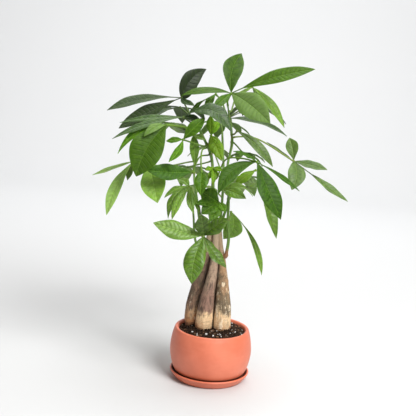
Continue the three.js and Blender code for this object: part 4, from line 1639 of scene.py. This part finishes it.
@dataclass
class Wood:
    """The woody stems that stand in the soil, in millimetres.

    Ridges, pits and wrinkles are for a stem of the usual radius and grow with it. Their hollows
    are darkest over the height of dry bark, and painted shade darkens a stem in the crevices
    between it and the others. The crown is the domed cut at the top, in rows of rise and of
    share of the radius.
    """

    spacing: float = 0.8
    sides: int = 84
    dent: float = 0.035
    dent_turns: float = 3.0
    usual: float = 12.0
    ridges: Grain = Grain(0.42, 3.2, 26, lean=60, waves=9)
    pits: Grain = Grain(0.22, 11, 4, lean=7, seed=50, waves=11)
    sway: Grain = Grain(2.2, 1.5, 14, seed=70)
    flares: Grain = Grain(0.9, 2.6, 9, seed=90)
    wrinkle: float = 0.13
    wrinkle_pace: float = 1.9
    wrinkle_least: float = 0.35
    wrinkled: Band = Band(30, 30)
    tuck: float = 0.13
    tucked: Band = Band(79, 7)
    flared: Band = Band(84, 6)
    crevice: float = 3.2
    ridge_dark: float = 0.6
    pit_dark: float = 1.4
    full_dark: float = 0.5
    soil_dark: float = 0.3
    dry: float = 104.0
    dry_fade: float = 4.0
    knots: Knots = Knots()
    crown: tuple[Pair, ...] = ((0.4, 0.97), (0.8, 0.88), (1.1, 0.7), (1.3, 0.45), (1.4, 0.2))
    crease: float = 70.0
    first_seed: int = 100
    runs: dict[str, Run] = field(default_factory=dict)

    def lay(self) -> None:
        """Lays the middle line of every stem."""
        for name, stations in STEMS.items():
            middle = VIEWER.seen([(s.across, s.up, s.forward) for s in stations])
            self.runs[name] = Run(middle, [s.radius for s in stations])

    def crevice_shade(self, name: str, places: Array, heights: Array) -> Array:
        """How deep places on a stem's rings lie in the crevices between it and the others, which sets the
        painted shade there.

        It is the bell of the level gap to the nearest other stem over the width of a crevice.

        Args:
            name: the stem's name.
            places: x and y of its points, ring by ring.
            heights: the rings' heights.

        Returns:
            A number from 0 to 1 for each point.
        """
        deepest = np.zeros(places.shape[:2])
        for other, run in self.runs.items():
            if other != name:
                x, y, wide = (column[:, None] for column in run.crossing(heights))
                away = np.hypot(places[..., 0] - x, places[..., 1] - y)
                deepest = np.maximum(deepest, bell(np.clip(away - wide, 0, None) / self.crevice))
        return deepest

    def stem(self, name: str, seed: int) -> Patch:
        """One stem of level rings.

        A ring's radius is the stem's there, less a shallow dent that winds round it, plus upright
        ridges, lumps and wrinkles near the soil, a few knots and a domed cut at the top. A knot
        adds a bell of the distance from it and takes away a narrower one.

        Args:
            name: the stem's name.
            seed: picks its ridges and knots.

        Returns:
            The patch.
        """
        run, rng = self.runs[name], np.random.default_rng(seed)
        rise, share = np.array(self.crown).T
        part = np.append(np.linspace(0, 1, int(run.length / self.spacing)), np.ones(len(rise)))
        line = run.at(part)
        line[-len(rise):, 2] += rise
        turn = round_about(self.sides)[None]
        walked, height = part[:, None] * run.length, line[:, 2:]
        wound = np.sin(2 * turn + self.dent_turns * part[:, None] + run.samples[0, 0])
        reach = run.radius(part)[:, None] * (1 - self.dent * (1 + wound) / 2)
        size = reach / self.usual
        ridges = self.ridges.over(turn, walked, seed) * size
        pits = self.pits.over(turn, walked, seed) * size
        wrinkle = np.sin(walked * self.wrinkle_pace + self.sway.over(turn, walked, seed)) * self.wrinkle
        tuck = 1 - self.tuck * self.tucked.at(height)
        flare = self.flared.at(height) * self.flares.over(turn, walked, seed)
        low = self.wrinkle_least + self.wrinkled.at(walked)
        grown = reach * tuck + ridges + pits + wrinkle * low * size + flare
        dry = self.soil_dark + (1 - self.soil_dark) / (1 + np.exp((self.dry - height) / self.dry_fade))
        sunk = -(ridges * self.ridge_dark + pits * self.pit_dark) / self.full_dark
        outward = np.stack([np.cos(turn), np.sin(turn), 0 * turn], -1)
        beside = line[:, None, :2] + reach[..., None] * outward[..., :2]
        # dark bark in the hollows, and painted shade in the crevices between stems
        hollow = np.maximum(np.clip(sunk, 0, 1) * dry, self.crevice_shade(name, beside, line[:, 2]))
        for _ in range(self.knots.count):
            spot = rng.uniform(*self.knots.parts) * run.length
            way = rng.uniform(0, 2 * np.pi)
            wide = rng.uniform(*self.knots.widths)
            aside = reach * (np.mod(turn - way + np.pi, 2 * np.pi) - np.pi)
            away = np.hypot(aside, (walked - spot) * self.knots.squat) / wide
            grown = grown + wide * self.knots.rise * (bell(away) - bell(away * self.knots.pit))
            hollow = np.maximum(hollow, self.knots.dark * bell(away * self.knots.hole))
        grown[-len(share):] *= share[:, None]
        rings = line[:, None] + grown[..., None] * outward
        uv = np.stack(np.broadcast_arrays(turn / (2 * np.pi), walked * SURFACE_UNIT), -1)
        return skin(rings, uv, hollow=hollow)

    def build(self) -> None:
        """Makes every stem in place of its solid."""
        for seed, (name, bark) in enumerate(BARKS.items(), self.first_seed):
            shown = name.replace("trunk", "woody_stem")
            made = piece(shown, [self.stem(name, seed)], bark.material(f"{shown}_bark"), self.crease)
            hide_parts(name)


@dataclass
class Greenwood:
    """The green shoots that rise from the stems, in millimetres.

    A shoot starts the depth of its root inside the stem, aside by a share of the stem's radius
    and lifted where it leaves from a side. Its foot swells by the collar and fades over the
    spread, and it swells by a share at each joint. It rounds off over the tip. Cork covers its
    foot, fades up it and comes back at the joints.
    """

    wood: Wood
    gap: float = 0.3
    sides: int = 28
    spacing: float = 0.8
    root: float = 3.0
    root_aside: float = 0.3
    root_lift: float = 1.5
    collar: float = 0.45
    collar_spread: float = math.sqrt(18)
    swelling: float = 0.28
    joint_length: float = 2.2
    tip_length: float = 2.0
    tip_end: float = 2.05
    tip_least: float = 0.02
    grain: Grain = Grain(0.05, 2, 8)
    cork_foot: float = 1.15
    cork_fade: float = 17.0
    cork_joint: float = 0.5
    bud_on: str = "shoot_1"
    bud_part: float = 0.86
    bud_reach: Triple = (-5.0, -3.0, 7.0)
    bud_radius: float = 1.7
    bud_steps: int = 20
    bud_sides: int = 16
    crease: float = 70.0
    first_seed: int = 200
    finish: GreenBark = field(default_factory=GreenBark)
    runs: dict[str, Run] = field(default_factory=dict)

    def lay(self) -> None:
        """Lays the middle line of every shoot, from its foot on its stem."""
        for name, shoot in SHOOTS.items():
            stem = self.wood.runs[shoot.foot.stem]
            middle = stem.at(shoot.foot.part)
            if shoot.foot.side is None:
                foot = middle + UP * self.gap
            else:
                reach = float(stem.radius(shoot.foot.part)) + shoot.radii[0] + self.gap
                foot = middle + level(shoot.foot.side) * reach
            self.runs[name] = Run(np.vstack([foot, VIEWER.seen(shoot.path)]), shoot.radii)

    def joints(self, name: str) -> list[float]:
        """Parts of a shoot's length at which leaves or their scars are."""
        leaves = [*FRONT_LEAVES.values(), *BACK_LEAVES.values()]
        return [leaf.part for leaf in leaves if leaf.grows_on == name]

    def inside(self, foot: Foot) -> Array:
        """Where a shoot starts, inside its stem.

        Args:
            foot: where the shoot leaves the stem.

        Returns:
            The point.
        """
        stem = self.wood.runs[foot.stem]
        place = stem.at(foot.part) - UP * self.root
        if foot.side is None:
            return place
        aside = level(foot.side) * float(stem.radius(foot.part)) * self.root_aside
        return place + aside + UP * self.root_lift

    def shoot(self, name: str, seed: int) -> Patch:
        """One shoot: a tube with a collar at its foot and a swelling at each leaf.

        Its radius is the shoot's there, plus half as much again at the foot and a third at a leaf,
        each fading as a bell over a few millimetres, and it rounds off at the tip as a circle.

        Args:
            name: the shoot's name.
            seed: picks its unevenness.

        Returns:
            The patch.
        """
        run = self.runs[name]
        part = np.linspace(0, 1, int(run.length / self.spacing))
        line = np.vstack([self.inside(SHOOTS[name].foot), run.at(part)])
        walked = np.append(-self.root, part * run.length)
        collar = self.collar * bell(np.clip(walked, 0, None) / self.collar_spread)
        swell = sum(Band(p * run.length, self.joint_length).at(walked) for p in self.joints(name))
        near_tip = np.clip((walked - run.length + self.tip_length) / self.tip_end, 0, 1)
        tip = np.sqrt(np.clip(1 - near_tip**2, self.tip_least, 1))
        radii = np.append(run.radii[0], run.radius(part)) * (1 + collar + self.swelling * swell) * tip
        uneven = 1 + self.grain.over(round_about(self.sides)[None], walked[:, None], seed)
        cork = np.clip(self.cork_foot - walked / self.cork_fade, 0, 1) + self.cork_joint * swell
        return tube(line, radii[:, None] * uneven, self.sides, cork=cork)

    def bud(self) -> Patch:
        """The small folded bud where the tallest shoot forks: a drop on a short stalk.

        Its radius follows a sine to the power 0.8, which starts and ends a little off its zeros.

        Returns:
            The patch.
        """
        part = np.linspace(0, 1, self.bud_steps)
        line = self.runs[self.bud_on].at(self.bud_part) + np.array(self.bud_reach) * part[:, None]
        radii = self.bud_radius * np.sin(np.pi * (0.08 + 0.9 * part)) ** 0.8
        return tube(line, radii, self.bud_sides, cork=0 * part)

    def build(self) -> None:
        """Makes every shoot in place of its solid."""
        bark = self.finish.material("green_bark")
        for seed, name in enumerate(SHOOTS, self.first_seed):
            patches = [self.shoot(name, seed)]
            if name == self.bud_on:
                patches.append(self.bud())
            made = piece(name.replace("shoot", "green_shoot"), patches, bark, self.crease)
            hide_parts(name)


@dataclass(frozen=True)
class Character:
    """What is a leaflet's own.

    The lower its fullness, the blunter it is. Curl, waving, quilting and twist are shares of its
    half width, waves is how many it has from base to tip, and start where the first one begins.
    Shade is how light it is, and warmth how yellow.
    """

    fullness: float
    curl: float
    waves: float
    waving: float
    start: float
    quilting: float
    twist: float
    shade: float
    warmth: float

    @classmethod
    def drawn(cls, seed: int) -> Character:
        """Draws one leaflet's character.

        Args:
            seed: picks it.

        Returns:
            The character.
        """
        rng = np.random.default_rng(seed)
        return cls(
            fullness=rng.uniform(0.86, 0.98),
            curl=rng.uniform(0.04, 0.2),
            waves=rng.uniform(1.5, 3.2),
            waving=rng.uniform(0.03, 0.1),
            start=rng.uniform(),
            quilting=rng.uniform(0.06, 0.2),
            twist=rng.uniform(-0.1, 0.1),
            shade=rng.uniform(-1, 1),
            warmth=rng.uniform(-1, 1),
        )


@dataclass(frozen=True)
class Leaflet:
    """One leaflet in space, from its base at the hub to its tip, in millimetres.

    Rows crowd towards both ends and columns gather at the midrib. Its half width is at least
    the bare stalk's, which thins by the taper to the tip, and its edges are ragged by a share.
    Side ribs lean forward as they run out.
    """

    base: Array
    tip: Array
    facing: Array
    width: float
    arch: float
    sweep: float
    seed: int
    neck: float = 0.0
    skew: float = 1.15
    glow: float = 0.0
    dull_and_sheen: float = 0.0
    crisp: float = 1.0

    fold: float = math.tan(math.radians(14))
    fold_round: float = 0.006
    fold_drop: float = 0.077
    thickness: float = 0.7
    edge_thinning: float = 0.38
    keel: float = 0.55
    keel_width: float = 0.8
    groove: float = 0.3
    groove_width: float = 0.6
    rib_gap: float = 6.5
    least_ribs: float = 4.0
    rib_lean: float = 1.15
    rib_bend: float = 1.25
    bare: float = 0.75
    taper: float = 0.66
    ragged: float = 0.035
    row_pace: float = 0.8
    least_rows: int = 26
    most_rows: int = 96
    crowd: float = 0.28
    columns: int = 15
    gather: float = 1.45
    shading: float = 0.7

    def patch(self) -> Patch:
        """The leaflet as a closed sheet.

        Row t runs from base to tip along a parabola that is arched and swept, and column v from
        one edge to the other. A point lies v half widths to the side and is raised by the fold
        at the midrib, less a curl at the edges, plus slow waves and a quilting between the side
        ribs. Half the width is a skewed sine to a power. The underside lies a thickness below,
        thinner at the edges, and swells under the midrib.

        Returns:
            The patch.
        """
        own = Character.drawn(self.seed)
        chord = self.tip - self.base
        length = float(np.linalg.norm(chord))
        along = chord / length
        normal = unit(self.facing - along * (self.facing @ along))
        side = np.cross(normal, along)
        x = np.linspace(0, 1, int(np.clip(length * self.row_pace, self.least_rows, self.most_rows)))
        t = ((1 - self.crowd) * x + self.crowd * (0.5 - 0.5 * np.cos(np.pi * x)))[:, None]
        bow = 4 * t * (1 - t)
        middle = self.base + chord * t + (normal * self.arch + side * self.sweep) * bow
        upright = unit(normal - along * (4 * (1 - 2 * t) * self.arch / length))
        s = np.clip((t - self.neck) / (1 - self.neck), 0, 1)
        spread = np.sin(np.pi * s**self.skew) ** own.fullness
        half = np.maximum(self.width / 2 * spread, self.bare - self.taper * s)

        step = np.linspace(-1, 1, self.columns)
        over = -np.sign(step) * np.abs(step) ** self.gather
        v = np.append(over, over[::-1])[None]
        wide = np.abs(v)
        below = np.repeat([0.0, 1.0], self.columns)[None]
        half = half * (1 + self.ragged * ripple(s * 9 + v * 0.2, 3 * np.sign(v) + 0 * s, self.seed))
        off = wide * half
        ribs = t * max(self.least_ribs, length / self.rib_gap) - 0.5 - self.rib_lean * wide**self.rib_bend
        body = np.sin(np.pi * np.clip(s, 0.02, 0.98)) ** 0.6
        fold = self.fold * (np.sqrt(v**2 + self.fold_round) - self.fold_drop)
        curl = self.crisp * own.curl * v**4
        wave = self.crisp * own.waving * v * wide * np.sin(2 * np.pi * (own.waves * t + own.start))
        lift = half * (fold - curl * body + wave * body)
        cushions = np.cos(2 * np.pi * ribs) * np.sin(np.pi * wide) ** 0.7
        quilt = -self.crisp * own.quilting * cushions * body
        twist = half * v * own.twist * (t - 0.5)
        thick = self.thickness * (0.5 - self.edge_thinning * v**8)
        keel = self.keel * bell(off / self.keel_width) * (1 - 0.6 * t)
        groove = self.groove * bell(off / self.groove_width) * body
        raised = lift + quilt + twist + np.where(below > 0, -thick - keel, thick - groove)
        rings = middle[:, None] + side * (half * v)[..., None] + upright[:, None] * raised[..., None]
        uv = np.stack(np.broadcast_arrays(half * v * SURFACE_UNIT, t * length * SURFACE_UNIT), -1)
        whole = np.ones_like(raised)
        # The shade mark adds the painted light and shade of the glow to the leaflet's own tone, and under
        # also takes the painted sheen that pales a top.
        marks = {
            "under": np.maximum(below, self.dull_and_sheen), "ribs": ribs, "off": off, "rim": wide, "blade": 1.0,
            "shade": own.shade * self.shading + self.glow, "warm": own.warmth,
        }
        return skin(rings, uv, **{name: values * whole for name, values in marks.items()})


@dataclass
class Foliage:
    """The palmate leaves: stalks, hubs and leaflets, in millimetres and degrees.

    A fan of leaflets sweeps so far to either side, droops, and gives each leaflet a width and an
    arch over its length. Outer leaflets are shorter by the fan's taper. Each strays a little in
    length, droop, heading and sweep. A stalk starts a gap off its shoot, with its root inside,
    runs straight out to its knee, and swells at both ends. The hub is a knob that starts and
    ends an angle off its poles.
    """

    wood: Wood
    greenwood: Greenwood
    fan_sweep: float = 75.0
    fan_droop: float = 24.0
    fan_width: float = 0.32
    fan_arch: float = 0.1
    fan_taper: float = 0.225
    fan_seed: int = 900
    stray_length: float = 0.16
    stray_droop: float = 16.0
    stray_heading: float = 8.0
    stray_sweep: float = 6.0
    stalk_radius: float = 1.15
    stalk_sides: int = 14
    stalk_spacing: float = 1.2
    stalk_least: int = 16
    stalk_gap: float = 0.45
    root_share: float = 0.4
    root_depth: float = 1.5
    root_length: float = 1.0
    knee: float = 4.0
    swelling: float = 0.4
    swelling_length: float = 3.5
    hub_radius: float = 2.1
    hub_length: float = 0.8
    hub_sides: int = 16
    hub_rings: int = 9
    hub_pole: float = 0.12
    hub_aim: float = 0.97
    crease: float = 60.0

    def facing(self, base: Array, tip: Array, turn: float) -> Array:
        """Which way a leaflet faces: at the viewer, turned about its own length by an angle.

        Args:
            base: where it starts.
            tip: where it ends.
            turn: the angle, in degrees.

        Returns:
            The unit vector that its top faces.
        """
        along = unit(tip - base)
        to_viewer = VIEWER.eye() - base
        to_viewer = unit(to_viewer - along * (to_viewer @ along))
        left = np.cross(to_viewer, along)
        angle = math.radians(turn)
        return to_viewer * math.cos(angle) + left * math.sin(angle)

    def front_leaflets(self, leaf: FrontLeaf, hub: Array, seed: int) -> list[Leaflet]:
        """The leaflets of a leaf that was read from the front.

        Args:
            leaf: the leaf.
            hub: where its leaflets start.
            seed: picks what is each leaflet's own.

        Returns:
            The leaflets.
        """
        made = []
        for number, blade in enumerate(leaf.blades, seed * 10):
            tip = VIEWER.seen([(blade.across, blade.up, blade.forward)])[0]
            made.append(Leaflet(
                hub, tip, self.facing(hub, tip, blade.turn), blade.width, blade.arch, blade.sweep, number,
                neck=blade.neck, skew=blade.skew, glow=blade.glow, dull_and_sheen=blade.dull_and_sheen, crisp=leaf.crisp))
        return made

    def fan_leaflets(self, leaf: FanLeaf, hub: Array, seed: int) -> list[Leaflet]:
        """The leaflets of a leaf on the far side, fanned evenly and then strayed a little.

        Args:
            leaf: the leaf.
            hub: where its leaflets start.
            seed: picks how they stray and what is each leaflet's own.

        Returns:
            The leaflets.
        """
        made = []
        for i in range(leaf.count):
            aside = 2 * i / (leaf.count - 1) - 1
            chance = draw(seed * 10 + i) - 0.5
            other = draw(seed * 10 + i + 5) - 0.5
            reach = leaf.length * (1 - self.fan_taper * aside**2) * (1 + self.stray_length * chance)
            droop = math.radians(self.fan_droop + self.stray_droop * other)
            way = level(leaf.heading + self.fan_sweep * aside + self.stray_heading * chance)
            tip = hub + way * reach * math.cos(droop) - UP * reach * math.sin(droop)
            made.append(Leaflet(hub, tip, UP, self.fan_width * reach, self.fan_arch * reach,
                                self.stray_sweep * chance, self.fan_seed + seed * 10 + i))
        return made

    def stalk(self, grows_on: str, part: float, via: Array, hub: Array, shade: float) -> list[Patch]:
        """The stalk from inside its shoot to the hub, swollen at both ends, and the hub's knob.

        Its radius is the stalk's, plus a bell of the length from either end. The knob is a ball
        drawn out or pressed flat along the stalk.

        Args:
            grows_on: the stem or shoot.
            part: how far along it.
            via: places that the stalk passes.
            hub: where it ends.
            shade: how light it is, from -1 to 1.

        Returns:
            The two patches.
        """
        run = {**self.wood.runs, **self.greenwood.runs}[grows_on]
        start, way = run.at(part), run.way(part)
        at_tip = part == 1
        ahead = (via[0] if len(via) else hub) - start
        away = way if at_tip else unit(ahead - way * (ahead @ way))
        reach = 0.0 if at_tip else float(run.radius(part))
        foot = start + away * (reach + self.stalk_gap)
        middle = Run(np.vstack([foot, foot + away * self.knee, via, hub]), (1, 1))
        steps = np.linspace(0, 1, int(max(self.stalk_least, middle.length / self.stalk_spacing)))
        inside = start + away * (reach * self.root_share - (self.root_depth if at_tip else 0))
        line = np.vstack([inside, middle.at(steps)])
        walked = np.append(-self.root_length, steps * middle.length)
        ends = sum(bell(off / self.swelling_length) for off in (walked, middle.length - walked))
        radii = self.stalk_radius * (1 + self.swelling * ends)
        turn = np.linspace(self.hub_pole, math.pi - self.hub_pole, self.hub_rings)
        axis = unit(middle.at(1.0) - middle.at(self.hub_aim))
        ball = hub - axis * np.cos(turn)[:, None] * self.hub_radius * self.hub_length
        tubes = ((line, radii, self.stalk_sides), (ball, self.hub_radius * np.sin(turn), self.hub_sides))
        return [tube(*shape, shade=np.full(len(shape[0]), shade)) for shape in tubes]

    def build(self) -> None:
        """Makes every leaf in place of its solid, one piece a leaf."""
        skins = {tone: tone.value.material(f"{tone.value.slot}_skin") for tone in Tone}
        for seed, (name, leaf) in enumerate({**FRONT_LEAVES, **BACK_LEAVES}.items(), 1):
            hub = VIEWER.seen([leaf.hub])[0]
            if isinstance(leaf, FrontLeaf):
                via = VIEWER.seen(leaf.via) if leaf.via else np.zeros((0, 3))
                leaflets = self.front_leaflets(leaf, hub, seed)
            else:
                via = np.zeros((0, 3))
                leaflets = self.fan_leaflets(leaf, hub, seed - len(FRONT_LEAVES))
            patches = self.stalk(leaf.grows_on, leaf.part, via, hub, draw(seed) - 0.5)
            patches += [leaflet.patch() for leaflet in leaflets]
            made = piece(name.replace("leaf", "palmate_leaf"), patches, skins[leaf.tone], self.crease)
            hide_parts(name)


@dataclass(frozen=True)
class Lamp:
    """A soft square lamp: where it hangs and what it looks at, in metres, its width and its watts."""

    name: str
    place: Triple
    target: Triple
    width: float
    power: float

    def hang(self) -> None:
        """Hangs it in the scene."""
        light = bpy.data.lights.new(self.name, "AREA")
        light.size = self.width
        light.energy = self.power
        back = unit(np.array(self.place) - np.array(self.target))
        right = unit(np.cross(UP, back))
        aim(put(self.name, light), right, np.cross(back, right), back, np.array(self.place))


@dataclass
class Studio:
    """The pale table that bends up into a far wall, and the soft light, in metres."""

    table_tone: Colour = (0.62, 0.62, 0.617)
    wall_tone: Colour = (0.86, 0.865, 0.87)
    tone_change: Pair = (0.2, 1.6)
    roughness: float = 0.7
    clouds: Cloud = Cloud(3, 2)
    reach: float = 5.0
    wall_behind: float = 2.4
    wall_high: float = 3.2
    bend: float = 0.7
    bend_steps: int = 24
    room_light: float = 0.22
    lamps: tuple[Lamp, ...] = (
        Lamp("window_lamp", (0.8, -1.15, 1.55), (0, 0, 0.25), 0.85, 50),
        Lamp("top_lamp", (0.1, 0.25, 1.9), (0, 0, 0.25), 0.9, 16),
        Lamp("wall_lamp", (0, 1.0, 2.6), (0, 2.4, 0.9), 2.0, 26),
    )

    def sweep(self) -> None:
        """The floor, and the wall behind it, joined by a quarter circle."""
        turn = np.linspace(0, np.pi / 2, self.bend_steps)
        cove = np.stack([self.wall_behind - self.bend + self.bend * np.sin(turn),
                         self.bend - self.bend * np.cos(turn)], -1)
        profile = np.vstack([[-self.reach, 0], cove, [self.wall_behind, self.wall_high]])
        ends = [np.insert(profile, 0, x, axis=1) for x in (-self.reach, self.reach)]
        index = np.arange(2 * len(profile)).reshape(2, -1)
        quads = np.stack([index[0, :-1], index[1, :-1], index[1, 1:], index[0, 1:]], -1)
        mesh = bpy.data.meshes.new("studio_sweep")
        mesh.from_pydata(np.vstack(ends).tolist(), [], quads.tolist())
        mesh.shade_smooth()
        g = Graph("studio_white")
        tone = g.mix(g.ease(g.along("Y"), *self.tone_change), self.table_tone, self.wall_tone)
        mesh.materials.append(g.finish(tone, self.roughness + g.noise(self.clouds, g.place()) * 0.05))
        made = put("studio_sweep", mesh)
        made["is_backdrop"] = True

    def build(self) -> None:
        """Sets the table, the lamps and the even light of a white room."""
        self.sweep()
        for lamp in self.lamps:
            lamp.hang()
        world = bpy.data.worlds.new("white_room")
        world.use_nodes = True
        glow = world.node_tree.nodes["Background"].inputs
        glow["Color"].default_value = (1, 1, 1, 1)
        glow["Strength"].default_value = self.room_light
        bpy.context.scene.world = world
        bpy.context.scene.view_settings.view_transform = "Standard"


def corners() -> list[list[float]]:
    """The lowest and highest corner of what is shown."""
    return [list(corner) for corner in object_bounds()]


def main() -> None:
    """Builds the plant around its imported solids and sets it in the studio."""
    logging.basicConfig(level=logging.INFO, format="%(message)s")
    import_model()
    VIEWER.camera()
    ClayWare().build()
    wood = Wood()
    wood.lay()
    wood.build()
    Bed().build(wood)
    greenwood = Greenwood(wood)
    greenwood.lay()
    greenwood.build()
    Foliage(wood, greenwood).build()
    Studio().build()


if __name__ == "__main__":
    main()
